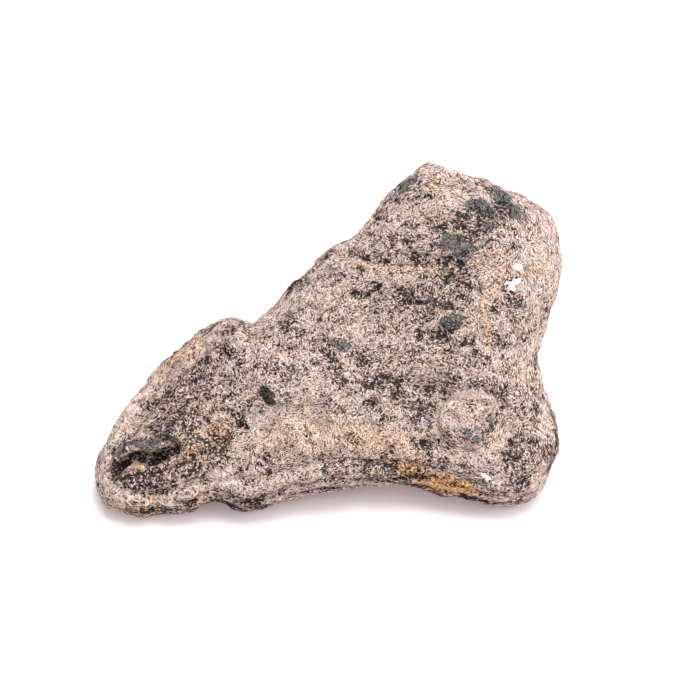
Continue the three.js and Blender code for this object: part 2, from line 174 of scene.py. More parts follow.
@dataclass(frozen=True)
class Patch:
    """A soft-edged oval of one marking on the viewed side.

    Attributes:
        at: Where its middle is seen.
        size: Its half length and half width.
        strength: How strong it is in its middle.
        turn: How far its length is turned from level, in degrees.
    """

    at: Place
    size: Place
    strength: float
    turn: float = 0.0

    def cover(self, spots: np.ndarray) -> np.ndarray:
        """Work out how much of the patch each seen spot gets.

        Args:
            spots: One row for each spot: across and up.

        Returns:
            A share for each spot, which falls from the strength to nothing.
        """
        angle = math.radians(self.turn)
        across, up = (spots - np.array(self.at)).T
        along = (across * math.cos(angle) + up * math.sin(angle)) / self.size[0]
        over = (up * math.cos(angle) - across * math.sin(angle)) / self.size[1]
        return self.strength * np.exp(-(((along**2 + over**2) * 0.7) ** 1.6))


def patches(*rows: tuple[float, ...]) -> tuple[Patch, ...]:
    """Make patches of one marking.

    Args:
        rows: Each patch's place across and up, half length, half width, strength and, if not level, its turn.

    Returns:
        The patches.
    """
    return tuple(Patch((across, up), (length, width), *rest) for across, up, length, width, *rest in rows)


def band(spots: np.ndarray, along: tuple[Place, ...], width: float) -> np.ndarray:
    """Work out how much of a soft-edged band along a line each spot gets.

    Args:
        spots: One row for each spot: across and up.
        along: The places that the line runs through.
        width: The band's half width.

    Returns:
        A share for each spot, from 1 on the line to nothing.
    """
    nearest = np.full(len(spots), np.inf)
    for start, end in zip(along, along[1:]):
        step = np.array(end) - np.array(start)
        offset = spots - np.array(start)
        share = np.clip(offset @ step / (step @ step), 0, 1)
        nearest = np.minimum(nearest, np.linalg.norm(offset - share[:, None] * step, axis=1))
    return np.exp(-((nearest / width) ** 2))


@dataclass(frozen=True)
class Streak:
    """A soft-edged band of one marking along a line on the viewed side.

    Attributes:
        along: The seen places that the line runs through.
        width: Its half width.
        strength: How strong it is along its middle.
    """

    along: tuple[Place, ...]
    width: float
    strength: float

    def cover(self, spots: np.ndarray) -> np.ndarray:
        """Work out how much of the band each seen spot gets.

        Args:
            spots: One row for each spot: across and up.

        Returns:
            A share for each spot, which falls from the strength to nothing.
        """
        return self.strength * band(spots, self.along, self.width)


@dataclass(frozen=True)
class Crystal:
    """A chrysoberyl crystal that the break left bare, with two flat faces that meet in a low ridge.

    Attributes:
        at: Where its middle is seen.
        size: Its half length and half width.
        turn: How far its length is turned from level, in degrees.
        out: How far its ridge stands above the rock.
        far: Whether it is on the side that the photograph doesn't show.
        black: Whether it is nearly black, and not steel grey.
    """

    at: Place
    size: Place
    turn: float = 0.0
    out: float = 0.15
    far: bool = False
    black: bool = False


@dataclass(frozen=True)
class Groove:
    """A narrow groove, or a ridge where its depth is below zero, along a line on the viewed side.

    Attributes:
        along: The seen places that the line runs through.
        width: Its half width.
        depth: How deep it is.
    """

    along: tuple[Place, ...]
    width: float
    depth: float

    def cut(self, spots: np.ndarray) -> np.ndarray:
        """Work out how deep the groove is at each seen spot.

        Args:
            spots: One row for each spot: across and up.

        Returns:
            A depth for each spot.
        """
        return self.depth * band(spots, self.along, self.width)


@dataclass(frozen=True)
class Pull:
    """A small shift of the skin round one seen place, which brings its outline to the photograph's.

    Attributes:
        at: The seen place.
        reach: How far around it the shift fades out.
        move: How far it goes: across and up.
    """

    at: Place
    reach: float
    move: Place

    def shift(self, spots: np.ndarray) -> np.ndarray:
        """Work out how far each spot's point moves.

        Args:
            spots: One row for each spot: across and up.

        Returns:
            One row for each point, in millimetres.
        """
        share = np.exp(-((np.linalg.norm(spots - np.array(self.at), axis=1) / self.reach) ** 2))
        arrow = np.array([self.move[0], 0.0, 0.0]) + self.move[1] * VIEW.upward
        return share[:, None] * arrow


PULLS = (
    Pull((15, 37.6), 1.6, (0.0, 0.8)),
    Pull((10.8, 35.2), 2.4, (0.5, -0.4)),
    Pull((6.8, 31.2), 2.8, (0.5, -0.3)),
    # This pull stretches the skin down over the gap under the front arch, whose shadow the dark markings
    # paint
    Pull((17, -28.6), 3.6, (0.0, -1.1)),
    Pull((1, -30), 6.0, (0.0, 0.5)),
    Pull((-13, 12.8), 2.2, (0.5, -0.5)),
    Pull((-2, 20.4), 2.0, (-0.4, 0.4)),
    Pull((38, -2), 2.2, (-0.4, 0.0)),
    Pull((-19.6, 6.2), 2.2, (0.1, -0.7)),
    Pull((-15.6, 9.6), 2.4, (0.5, -0.5)),
    Pull((-39, -4), 3.0, (-0.4, 0.3)),
    Pull((-42.4, -9), 2.0, (-0.5, 0.4)),
    Pull((-45, -12), 3.4, (-0.8, 0.5)),
    Pull((-50, -20), 3.0, (-0.2, 0.1)),
)

# What shows in the photograph, marked one by one. Where markings of one kind meet, the strongest counts.
# The dark markings hold the rock's own dark mica, and painted shade and shadow where the notes below say so
DARK_AND_SHADE_MARKINGS = (
    # The toe: the line inside its rim, the cavity under its slab, its lower edge and its dark mica.
    # The cavity's darkness is painted shade in the pit, the lower edge is painted shade where it turns under,
    # and the darker lower left is partly painted shade.
    Streak(((-24, -0.1), (-29, -0.8), (-31.5, -3.2), (-35, -5.9), (-36.8, -8.9), (-40, -11.4)), 0.6, 0.7),
    Streak(
        (
            (-47.8, -24), (-46.2, -23), (-44.4, -21.7), (-41.6, -21.2), (-39.4, -21.5), (-37.2, -20.5),
            (-34.8, -19.6),
        ),
        0.6,
        1.7,
    ),
    Streak(((-43, -31.8), (-36, -32), (-30, -30.6), (-26, -31), (-22, -31.6)), 0.9, 0.9),
    *patches(
        (-40.1, -22.6, 1.3, 1, 1.4), (-47, -24.4, 1.1, 1.5, 1.5), (-29, -1.6, 1.9, 1.1, 1.1, 60),
        (-24.8, -0.4, 1.6, 1, 1, -30), (-30.8, -6.4, 4, 2.6, 0.5, 10), (-35, -5.8, 1.4, 0.8, 0.6, 30),
        (-36.4, -8.4, 0.9, 1.6, 1), (-35, -14, 3.4, 2.2, 0.6, 20), (-30.5, -13, 2.4, 1.6, 0.8, -20),
        (-33, -17.4, 3.2, 1.5, 0.8, 10), (-42.6, -18.8, 4.6, 1.6, 0.35, 12),
        (-40, -26.4, 4.4, 1.8, 0.7, -8), (-36, -12, 7, 4.5, 0.4, 55), (-30, -22, 6, 4, 0.3),
        (-37.5, -24.2, 2.6, 1.2, 0.8), (-45, -25.8, 1.1, 1.6, 1), (-31.4, -24.4, 1.8, 1, 0.6),
        (-31.4, -21.4, 1.1, 1, 1.1), (-38.4, -28.4, 2.8, 0.8, 0.9), (-27.4, -20, 3, 1.6, 0.6),
        (-26, -17.8, 2.2, 1.4, 0.9, 40), (-28.6, -18.8, 1, 0.8, 0.8), (-22.8, -12.6, 1.9, 1.5, 0.9),
        (-22, -15, 1.6, 1, 1, -20), (-39, -10, 2.6, 1.2, 0.7, 50), (-41, -13.4, 2.2, 1.4, 0.5, 60),
        (-36.6, -32, 2.2, 0.8, 1), (-31, -31.8, 2, 0.7, 0.8),
    ),
    # The belly and the front's lower edge. The bands along that edge are painted shade where it turns under,
    # and painted shadow where the arch stands off the floor.
    Streak(((-21, -29.9), (-14, -28.8), (-7, -28), (0, -27.4)), 0.4, 0.5),
    Streak(((-9, -24.6), (-3, -22.6), (0, -22.9), (4, -23.5), (8, -22.2)), 0.5, 0.7),
    Streak(((10, -26), (13, -27), (18, -28.6), (22, -29.6), (26, -30.6)), 1, 1),
    *patches(
        (-16.8, -21, 1.3, 1, 0.9), (-16.4, -24.6, 1.2, 0.9, 0.8), (-19.8, -27, 1.6, 0.6, 0.8, 30),
        (-18.8, -19.3, 0.9, 0.5, 0.9), (-21, -23.8, 0.9, 0.8, 0.6), (-7, -20.8, 1.6, 0.6, 0.4, 10),
        (-18.6, -31.4, 3, 0.8, 1.1, 10), (-24, -31, 2.4, 0.7, 0.9), (1, -18.2, 1.8, 0.8, 0.8),
        (0.8, -19.6, 0.7, 0.5, 0.9), (7.4, -20.8, 1.4, 0.9, 0.8, 10), (2.6, -24.8, 5, 1, 0.4, -8),
    ),
    # The left half of the broad face
    *patches(
        (-23.4, 5, 3, 1.5, 0.4, 10), (-29.4, 4, 2.2, 0.8, 0.6, 10), (-19.4, 3, 2, 0.9, 0.7),
        (-12.7, 5.6, 2, 1.4, 1), (-13.4, -3.8, 2.4, 0.8, 0.4, -8), (-9.4, -3, 1.4, 0.6, 0.4, -50),
        (-15.4, -5.2, 1.6, 0.5, 0.3, 10), (-7.3, 9.4, 0.9, 0.8, 0.4), (-5.4, 2, 0.9, 0.8, 0.6),
        (-4, -2, 2.8, 1.3, 0.8, -45), (2.8, -2.4, 3, 1.1, 1, -70), (-3.4, -5, 1.2, 1.2, 0.7),
        (-1, -6.6, 1.4, 1, 0.7), (-4.6, -10.4, 1.2, 0.8, 0.5), (-21.8, -2.6, 1, 0.8, 0.7),
        (-27.6, -8.6, 2.4, 1.2, 0.5, 30), (-1.6, 5.4, 1.4, 0.6, 0.7), (-17.4, -8.8, 1, 2.2, 0.6, 25),
    ),
    # The middle and its right half. The two bands round the knob are painted shade in its ring groove.
    Streak(((23.6, 2.8), (24.6, 0.6), (25.4, -0.8)), 0.35, 1.3),
    Streak(((23.6, -5.8), (27, -7), (29.6, -9), (29.8, -12), (28.8, -15)), 0.7, 0.8),
    Streak(
        (
            (28.6, -7), (24, -6.8), (19.6, -8), (16.8, -10.6), (16, -13.8), (16.6, -17), (19.4, -19.4),
        ),
        0.6,
        0.6,
    ),
    *patches(
        (7, -6.2, 4.2, 1.6, 0.9), (10.4, -8.8, 2.2, 1.8, 1, -20), (4.4, -10.8, 1.1, 1, 0.9),
        (13, -10.9, 1.6, 0.9, 1.1), (14, -12, 1.1, 1, 0.8), (16.6, -11, 1.4, 0.8, 1),
        (8, -14, 1.4, 0.8, 0.7), (17.8, 3.2, 2, 1.6, 1.2), (15, 5.8, 1.4, 0.8, 0.6), (23, 1, 0.7, 0.6, 0.8),
        (15.8, -7.6, 2.2, 1.4, 1), (20.4, -6.4, 2, 1, 0.6), (13.2, -0.6, 1.4, 0.7, 0.7),
        (27.2, -2.2, 1.2, 1, 0.8),
    ),
    # The knob's foot and the heel
    *patches(
        (15.2, -18.6, 1.6, 1.1, 1.3), (15.8, -20.8, 0.5, 1.7, 1, 10), (20, -18.6, 2, 0.7, 0.6, -10),
        (19, -22.6, 1.6, 1.1, 0.8), (22.6, -23, 1.2, 0.9, 0.7), (34.4, -12, 1, 2.4, 0.6, 15),
        (36.6, -10.6, 0.9, 2, 0.6), (37.6, -15.6, 0.8, 2, 0.6), (32, -18.6, 1.3, 1.3, 0.7),
        (37, -18.6, 1.6, 0.6, 0.5, -8), (32.4, -21.4, 2, 2, 0.9), (40.4, -20.6, 0.9, 1.8, 0.9, -15),
        (28, -29.6, 1, 1, 0.7), (33, -24, 1.4, 0.8, 0.8), (35, -26.6, 0.8, 1.4, 0.7, 15),
        (37.8, -28.8, 1.2, 0.8, 0.6, 20),
    ),
    # The shelf across the waist, its dark line along the step partly painted shadow, and the zone below it
    Streak(((-4.4, 18.8), (2, 19), (8, 19.1), (13, 18.5), (19, 17.8), (22.6, 17.5)), 0.5, 0.7),
    *patches(
        (3.2, 18.9, 2.6, 0.7, 0.8), (13.6, 18.4, 2.2, 0.8, 1.1, 10), (18.6, 17.6, 2.6, 0.9, 1, 10),
        (22.2, 17.4, 1.5, 0.9, 1.4), (20.4, 14.8, 3.4, 1.6, 1.2), (23.4, 12.6, 1, 0.7, 1.3),
        (14.8, 12.4, 1.6, 0.8, 1.1, -15), (20, 10.2, 3, 2.4, 0.9), (10.8, 10.6, 1.7, 1.8, 1),
        (13.6, 9.8, 1.1, 0.8, 0.9, 40), (5.2, 12.2, 1.7, 0.9, 1, 20), (1.8, 11.2, 2, 0.9, 0.9),
        (-2.6, 13.8, 0.9, 0.8, 0.8), (1.8, 16.1, 1.1, 0.4, 0.8), (-6, 15.8, 2.6, 0.7, 0.2, 25),
        (-12.6, 13, 1.2, 1, 0.9),
    ),
    # The top and the right face, then smaller dark spots all over
    # Partly painted shadow along the shelf's step
    Streak(((2.6, 18.6), (5, 18.4), (9, 17), (13, 17.2)), 0.9, 0.9),
    Streak(((-37, -17.6), (-32.6, -16.4), (-27.4, -18.6), (-23.6, -16.6)), 1.3, 0.7),
    Streak(((-6.4, -2), (-4.4, -4), (-2.6, -6.6), (-0.8, -8.4)), 0.8, 0.8),
    Streak(((36.8, -20.4), (35, -22.6), (32.6, -24.6)), 0.9, 0.8),
    Streak(((1.8, -16), (1.6, -19), (0, -22.6)), 0.8, 0.7),
    # Painted shadow under the front arch, where it stands off the floor
    Streak(((11.6, -27.6), (15, -28.4), (19, -29.6), (25, -31)), 0.8, 1.3),
    # Those spots along the lower edges are partly painted shade where the rock turns under
    *patches(
        (17.6, 24.2, 1.7, 0.8, 1.1, 15), (21.6, 24.8, 2.2, 0.8, 0.9), (11.8, 21.4, 0.8, 1.6, 1, 15),
        (8.2, 21.8, 0.8, 1.1, 0.9), (16.6, 20.2, 1.1, 0.6, 1.1), (14.8, 31.2, 1.5, 0.8, 1),
        (9.2, 30, 1, 0.6, 0.6, 20), (11.4, 21.8, 1.6, 1.2, 0.9), (18, 23.2, 1.3, 0.8, 0.8),
        (6.6, 26.4, 0.7, 0.6, 0.5), (22.2, 27, 1.4, 0.7, 1.1, -10), (30, 30, 2.6, 1, 1, -50),
        (34, 28.6, 2, 1.2, 0.9, -30), (32.4, 10.8, 1.4, 2.6, 0.9), (31, 13.4, 1.3, 0.8, 0.9),
        (29.2, 8.3, 1.1, 0.5, 1.1, 10), (33, 20.8, 1.1, 0.6, 0.8), (33, 6.8, 1.2, 1.7, 0.7),
        (30.6, 1, 1.1, 1, 0.6), (39.4, 8, 0.6, 2.2, 0.8, 10), (38, 24.6, 0.5, 2.4, 0.6, 20),
        (6, 22.4, 2, 1.2, 0.3), (22, 34.8, 1, 0.6, 0.7, -20), (28.4, 32.4, 1.1, 1.2, 0.7),
        (24, 32, 1.2, 0.7, 0.5), (15.2, 31.4, 1.2, 0.8, 0.6), (28, 24, 1.2, 0.9, 0.6),
        (17.2, 20.8, 1, 1.1, 0.9), (34.6, 22, 0.8, 0.8, 0.5), (18.6, 10.8, 1.4, 1.2, 0.8),
        (-9.8, 13, 1.6, 1.3, 0.7), (-9.8, 3.2, 1.3, 1.2, 1), (-2.6, 5.7, 1.6, 0.7, 0.6),
        (-6, 5.9, 1.2, 0.6, 0.5), (14.2, 3.4, 1.1, 1.4, 0.9), (6, -8.4, 1.6, 1, 0.7),
        (25.6, -6.6, 1, 1, 0.6), (6.6, -14, 0.9, 1, 0.7), (8.2, -23.2, 1.6, 1.2, 1),
        (3.4, -22.8, 1.4, 0.9, 0.7), (-3, -26.2, 1.6, 1.2, 0.8), (-5, -24.4, 0.8, 0.9, 0.6),
        (-1.4, -22.4, 1, 0.8, 0.6), (13, -19.4, 1.1, 0.9, 0.7), (17, -15, 0.7, 1.6, 0.7),
        (23.6, -11.4, 1.8, 0.8, 0.6), (28, -16.2, 1, 1, 0.7), (29.4, -20.8, 1.1, 0.8, 0.7),
        (40.4, -22, 0.8, 2, 0.7), (40.8, -16.8, 0.7, 1.8, 0.7), (36.6, -2, 1.4, 1.2, 0.6),
        (-17.8, -21.6, 1, 1.8, 0.6, 10), (-24.4, -9.4, 1.6, 1.1, 0.9), (-26.6, -12, 1.6, 0.9, 0.6),
        (-19.6, -11, 1.4, 0.6, 0.7), (-41.5, -24.2, 2.6, 1.1, 0.8, 5), (-36.8, -20.4, 1.5, 0.9, 1.4, 20),
        (-48, -24.8, 0.9, 1.2, 0.7), (-41.5, -29, 2.2, 0.7, 0.7), (-46.6, -20.6, 1.8, 0.8, 0.4, 30),
        (-39.4, -13.3, 2, 1, 0.9), (-37, -24.2, 2.4, 1, 0.7), (-25.4, -30.6, 3, 1.2, 1.2, -10),
        (-20.6, -31.4, 2.4, 0.9, 1.2), (-24.2, -7, 1.4, 1.5, 0.9), (-23.8, -11, 1.2, 1.6, 0.8),
        (-44.6, -18.4, 2, 1.2, 0.5, 30), (-37.4, -19, 1.1, 0.8, 0.5), (-33.4, -16.6, 2, 1, 0.9),
        (-35, -6.2, 0.8, 1.1, 0.7), (-7, 1.9, 1.2, 0.8, 0.7), (-7.8, 8.8, 0.9, 0.8, 0.7),
        (5.8, 3.2, 1.3, 0.8, 0.7), (14.6, -2.8, 1.5, 0.6, 0.7), (10.6, -10.6, 0.9, 1.4, 0.8),
        (31, -8.2, 1.3, 1, 0.9), (36, -9.6, 1, 0.8, 0.8), (37.8, -15.2, 0.8, 1.2, 0.8),
        (28.4, -28.6, 1.1, 0.8, 0.8), (24.2, 3.4, 1.1, 0.7, 0.7), (-8.6, -28.2, 2.2, 0.7, 0.7),
        (5, -23.6, 2.2, 0.8, 0.8), (12.2, 16.4, 1.2, 1, 0.9), (17, 13.8, 0.9, 1.6, 0.9),
        (14.2, 11.8, 1.1, 0.9, 0.7), (31.6, 12.6, 1, 1.2, 0.8), (-34, -13.6, 5.4, 1.6, 0.8, 10),
        (-31.4, -18.8, 1.8, 2.2, 0.9), (-39.4, -24.2, 2.2, 1, 0.9, 10), (-33, -22.6, 2.4, 0.8, 0.8, 20),
        (-38, -12.2, 3, 1.2, 0.7, 30), (-44.4, -25.6, 1.6, 1, 0.9), (-26.8, -15.8, 3.4, 0.9, 0.7, 35),
        (-32.6, -8.6, 1.6, 1.2, 0.7), (-40.6, -29, 2.6, 0.7, 0.7), (-29, -24, 1.3, 1.8, 0.6),
        (28, 26.2, 2.4, 1.2, 0.8, -20), (25.2, 24.2, 1.4, 1, 0.6), (17.4, 20, 1.5, 0.8, 0.8),
        (16.8, 16.4, 1, 1.5, 0.6), (29.4, 2.2, 1, 1.6, 0.6), (31.4, 9.4, 1.4, 1, 0.7),
        (24.6, -13.6, 1, 2.4, 0.6, 30), (34, -28, 1, 1.2, 0.9), (-33.6, -14.4, 1.8, 1.2, 0.9, 20),
        (-31, -17.2, 1.6, 1, 0.8), (-48.8, -25, 0.8, 1.2, 0.8), (-45, -28.2, 1.6, 0.8, 0.7, 20),
        (-41, -29.4, 1.8, 0.8, 0.8), (-29.6, -27.8, 1, 1.8, 0.7), (-25, -31.8, 3, 0.8, 1.3, -8),
        (32.2, 12.4, 1.3, 1, 0.8), (23.4, 21.8, 1, 1.2, 0.7), (26.4, 21.4, 1, 1.6, 0.6, -30),
        (35.4, 22.2, 1.8, 0.9, 0.6), (14.2, 12, 1, 0.8, 0.6), (3.2, -4.4, 1.2, 1.2, 0.7),
        (-3.8, -5.2, 1, 1.6, 0.7), (13.2, -25.2, 1.2, 1.4, 1.1), (36.4, -9.8, 1.4, 0.8, 0.6),
        (14.2, 31, 1.6, 1.2, 0.7), (14, 28, 0.8, 1.6, 0.6), (-22.8, 3, 0.9, 1.6, 0.8),
        (-35, -6, 0.9, 1.2, 0.7), (-12.4, -17, 0.9, 2.6, 0.6), (15.4, -14.2, 1, 0.6, 0.4),
        (30.2, 27.8, 2, 1.2, 1, -20), (25.4, 28.2, 1.6, 0.8, 0.6), (15, 6.4, 2, 1.2, 0.8, 10),
        (20, -0.3, 1.9, 0.8, 0.8), (14, -13.4, 1.6, 1, 0.9), (-17, -22.8, 2.2, 1.1, 0.8, 20),
        (-8, -18, 1.7, 0.9, 0.6), (-17.4, -4, 1.4, 1, 0.6), (-12.4, -4.6, 1.7, 1.2, 0.6),
        (-27, -7.4, 2, 0.9, 0.6), (14, 24.6, 1.3, 0.7, 0.8), (5, 27, 0.8, 2.2, 0.8, -30),
        (2.4, 12.8, 1.6, 0.8, 0.5), (18.6, 11.4, 1.2, 0.9, 0.6),
    ),
)

PALE_AND_HIGHLIGHT_MARKINGS = (
    # The toe's bright rim, the knob's crescent, partly a painted highlight along the knob's lit upper edge,
    # the right edge, paler partly as painted light from the right, then bright spots all over
    Streak(
        (
            (-19, 3), (-27, 2.2), (-33, -2.5), (-38, -6.5), (-43, -12), (-47, -18), (-49.4, -24),
            (-48.5, -28.5),
        ),
        1.4,
        0.9,
    ),
    Streak(
        (
            (-49, -28.6), (-42, -29.8), (-34, -29.8), (-27, -28.8), (-18, -27.2), (-8, -25.8), (0, -25.6),
        ),
        0.9,
        0.9,
    ),
    Streak(((17.8, -16), (18.6, -12), (21.5, -9.6), (25.6, -9), (28.6, -10.4)), 0.9, 1.4),
    Streak(((33.4, -9.4), (34.8, -13.2)), 0.6, 0.9),
    Streak(((32.2, -13.4), (31, -17.4), (29.4, -20)), 0.7, 1),
    Streak(((38.8, -11), (39.2, -18)), 0.7, 0.9),
    # The shelf's edge below its step, lighter partly as painted light on its upward face
    Streak(((-3, 17.6), (5, 17), (14, 16.2), (22, 16)), 0.8, 0.4),
    Streak(((31, 31.6), (37, 28.4), (40.6, 23), (41.6, 16), (40.6, 9), (38.2, 2)), 2.2, 1),
    Streak(((-20, -13.6), (-12, -12.6), (-6, -13.6), (-2, -15)), 1.1, 0.8),
    Streak(((-18, -28.6), (-14, -27.8), (-9, -27.4)), 0.8, 0.9),
    Streak(((-16, -29.9), (-8, -29.4), (0, -29.2), (7, -28.9)), 0.9, 0.9),
    *patches(
        (-20, -24, 6, 4, 0.3, -10), (-19, -16.4, 3.4, 2.2, 0.9, 20), (-10, -17, 9, 4, 0.8),
        (4, -18, 8, 3, 0.8, -8), (-42, -14.6, 2.6, 1.4, 0.6, 40), (-26, -10, 4, 4, 0.25),
        (22.4, -13, 4.4, 3.4, 0.7, 10), (37.6, 17, 3.4, 12, 0.75), (33, 3, 3, 7, 0.3),
        (20, 31, 8, 2.6, 0.3, -10), (-5.6, 10, 3, 1.8, 1), (2, 4, 6, 2.6, 0.3), (28, 12, 3, 6, 0.4),
        (21, -22.4, 1.4, 1, 0.8), (28, -21.4, 1.5, 1.1, 0.8), (37.2, -23.4, 2.2, 1.2, 0.6),
        (37, -28, 1.8, 2.8, 0.8, -20), (26, -4.8, 3, 0.9, 0.7, -10), (34.6, -4, 2.4, 3, 0.6),
        (-14, 9, 4, 1, 0.6, 45), (14, 27.6, 5, 1.6, 0.2), (6, -12.6, 4, 1, 0.3), (-1.6, 11, 1.2, 1.2, 0.6),
        (-18, -13.4, 2, 0.8, 0.9), (-3, -8.4, 2.2, 1.2, 0.9, -40), (1, -10, 2, 0.8, 0.8),
        (-12, -3, 3.4, 1.8, 0.6, -10), (-17.4, 5.6, 3.6, 1, 0.9, 10), (-13, -7, 1.4, 0.8, 0.5),
        (8.4, 14.8, 2.2, 0.7, 0.8), (13.2, 13.8, 1.8, 0.7, 0.6), (-5, 16.6, 1.8, 0.7, 0.6, 20),
        (8, 26.6, 2, 4, 0.6, -50), (16.2, 28.6, 1.5, 1, 0.7), (11, 34.8, 1.8, 0.8, 0.6, 50),
        (8.6, -4.4, 1.4, 0.8, 0.8), (12, -8.2, 0.8, 1.6, 0.8), (9.6, -14.6, 1, 1.1, 0.8),
        (19.8, -8.8, 1.4, 0.9, 0.5), (28.4, -5.6, 1.2, 0.7, 0.6), (20.9, 8.6, 0.8, 1.3, 0.7),
        (-5, -20.4, 0.9, 1.4, 0.8), (-9, -22.6, 1.4, 0.9, 0.8), (-25.6, -25, 2.5, 1.8, 1.2),
        (-33, -26.6, 1.7, 0.9, 0.7), (-31.6, -26.8, 1.6, 1.8, 0.6), (-47.2, -30.6, 1.9, 1, 1.1, -20),
        (23.6, -20.2, 2.6, 0.9, 0.9), (17, -20.6, 1.2, 0.8, 0.8), (30, -27.2, 2, 1.3, 0.8),
        (33.2, -27.6, 0.9, 1, 0.7), (35.2, -16.2, 1.1, 1, 1), (31.8, -11, 0.9, 2, 0.8),
        (32.4, 19.2, 1.1, 0.8, 0.5), (-24.6, -27, 1.8, 2.2, 0.8), (-7, -11, 2.4, 2.8, 0.9),
        (-10.4, -10.4, 1.4, 1.1, 0.7), (-17.8, 0, 1.5, 1.3, 0.9), (-18, -7.4, 1.1, 1.6, 0.7),
        (-1.4, -1, 1.2, 1.5, 1.1), (20.6, 8.2, 1.5, 1.2, 1), (16.8, 5, 1.6, 0.9, 0.8),
        (22, -0.5, 1.7, 1.2, 0.9), (14.6, -14.8, 0.9, 1.7, 1.1), (25.4, -20.4, 1.5, 3.2, 0.9, 10),
        (26.6, -25.6, 1.1, 0.8, 0.8), (12, -21.8, 1.5, 0.8, 0.9), (5.2, -13.6, 1.4, 1, 0.8),
        (-20.4, -15, 1.1, 0.8, 0.9), (-8, -23.4, 2.6, 1, 1, 10), (-34, -28.6, 1.7, 0.9, 0.7),
        (-27, -14.8, 1.1, 1, 0.8), (-31.4, -11, 1.1, 0.8, 0.8), (-7.6, 12.3, 1.5, 1, 1.1),
        (6, 13, 1.1, 0.9, 0.8), (14.8, 24, 1.1, 0.8, 0.9), (21.4, 27.4, 1.3, 0.8, 0.7),
        (28, 9.4, 0.9, 1.2, 1), (29.6, 3.6, 2.2, 1.1, 0.8), (-14.4, 2, 1.6, 1, 0.7),
        (-23.2, -1.8, 1.1, 1, 0.6), (-34, -3.6, 2.2, 1, 1, 45), (-25.6, 1.6, 3, 0.8, 1, 5),
        (-21.4, 4.8, 1.5, 0.9, 0.9), (-4.6, 16.2, 2.2, 0.8, 0.9, 20), (17.6, 18.9, 3.4, 0.6, 0.7, 3),
        (18.2, -9.4, 1, 2, 0.9, -10), (23, -7.8, 3, 0.8, 0.7, 5), (-5.4, -13.6, 2, 1.6, 0.9),
        (-24.4, -28.8, 1.4, 1, 0.9), (-29.6, -16.4, 1.8, 0.8, 0.7, 10), (-38.6, -32.4, 1.8, 0.8, 0.7),
        (-40.6, -19.4, 3.6, 1, 0.8, 5), (-24.4, -29, 1.6, 1.2, 1.2), (-20.6, -15, 1.2, 1, 0.8),
        (-27, -15.2, 1.6, 1, 1, 20), (-5.6, -14, 2, 1.6, 1.1), (8.4, 15.4, 1.4, 1, 1.1),
        (21, 9.6, 1.2, 2.2, 1), (-6.6, -3.8, 1.3, 1, 0.9), (8.2, -8.4, 1, 1.4, 0.8),
        (13.8, -10, 1.2, 0.9, 0.8), (30.6, -24, 1, 1.1, 0.9), (19, -21.2, 1.6, 0.9, 0.9),
        (-19, 5, 2.6, 0.9, 0.9, 5), (26.4, -26.4, 1, 1, 0.9), (31, 31, 2, 0.9, 0.8, -25),
        (10.4, 32, 1, 1.6, 0.7, -30), (-11.8, -10.8, 3, 0.9, 0.8), (-33, -25.4, 2, 0.9, 0.8),
        (-11.8, -23.6, 1.6, 1, 0.7), (-24.4, -25.6, 2, 2.6, 1), (-8, 3.8, 1.8, 0.9, 0.8),
        (-43, -22.8, 1.4, 0.8, 1, 10), (15.8, -5.2, 1.4, 1.1, 0.8), (24.4, -19.8, 1.6, 1.2, 0.7),
        (20, -26.8, 4.4, 0.8, 0.4, -20), (27, 29.4, 2, 0.9, 0.7, -20),
    ),
)

TAN_MARKINGS = (
    # The toe's rim, the shelf's edge and the right face, then the belly and smaller spots
    Streak(((-30.6, 1.2), (-34.5, -1.6), (-38.4, -5.2)), 1.5, 1),
    Streak(((-1, 16.6), (6, 16), (15, 16), (22, 16)), 1.2, 0.7),
    Streak(((24.6, 17.6), (28, 19), (32, 19.4)), 0.8, 1),
    Streak(((30.8, 16), (29.4, 12.4), (27.2, 9.4), (27.4, 4), (27.6, 1)), 1.2, 1),
    *patches(
        (-10, -17, 10, 4.6, 0.7), (4.6, -18.4, 8, 3, 1, -8), (-26.6, -15.6, 2.6, 1.4, 1, 20),
        (37, 15.6, 2.4, 0.9, 0.9, 20), (17.2, 33.2, 2, 0.7, 1.2, 35), (5, 26.6, 0.9, 2.4, 0.8, -30),
        (-42, -31.6, 4.6, 0.9, 1), (-22, -30.6, 2.6, 0.7, 0.8), (-40, -22.4, 5, 3, 0.2),
        (-30, -20, 6, 4, 0.6), (-33, -11, 6, 5, 0.4), (29, -18.6, 2, 3, 0.5), (34.6, -4, 2.4, 3, 0.6),
        (12, -21, 4, 2, 0.6), (-15, 11, 4, 0.9, 0.5, 42), (33, 12, 5, 8, 0.3),
    ),
)

RUST_MARKINGS = (
    # The orange ledge at the front, then small rusty spots
    Streak(((9.5, -23.2), (13, -24.5), (17, -25.8), (23, -27)), 0.9, 1.2),
    *patches(
        (17.6, -26.2, 9, 1.7, 1, -18), (-31.4, -19.8, 1.2, 0.7, 0.7, 20), (-26.6, -17.4, 3, 1.2, 0.4, 30),
        (-30.6, -29.4, 1.3, 0.6, 0.9, 15), (-42.8, -22.8, 1.4, 0.7, 0.8, 15), (-40, -29.5, 1, 0.4, 1),
        (-24, -16.8, 1.5, 0.9, 0.6), (-38.4, -11.4, 1.6, 0.8, 0.4, 50), (28.6, 3, 0.8, 2.2, 0.2),
        (30, 15, 0.8, 1.6, 0.2), (20, -21.2, 1.6, 0.8, 0.4), (14, -22.6, 2.6, 0.9, 0.6, -10),
        (-35, -0.6, 2, 0.8, 0.4, 45), (40.6, -20.6, 0.8, 1.6, 0.5, -15),
    ),
)

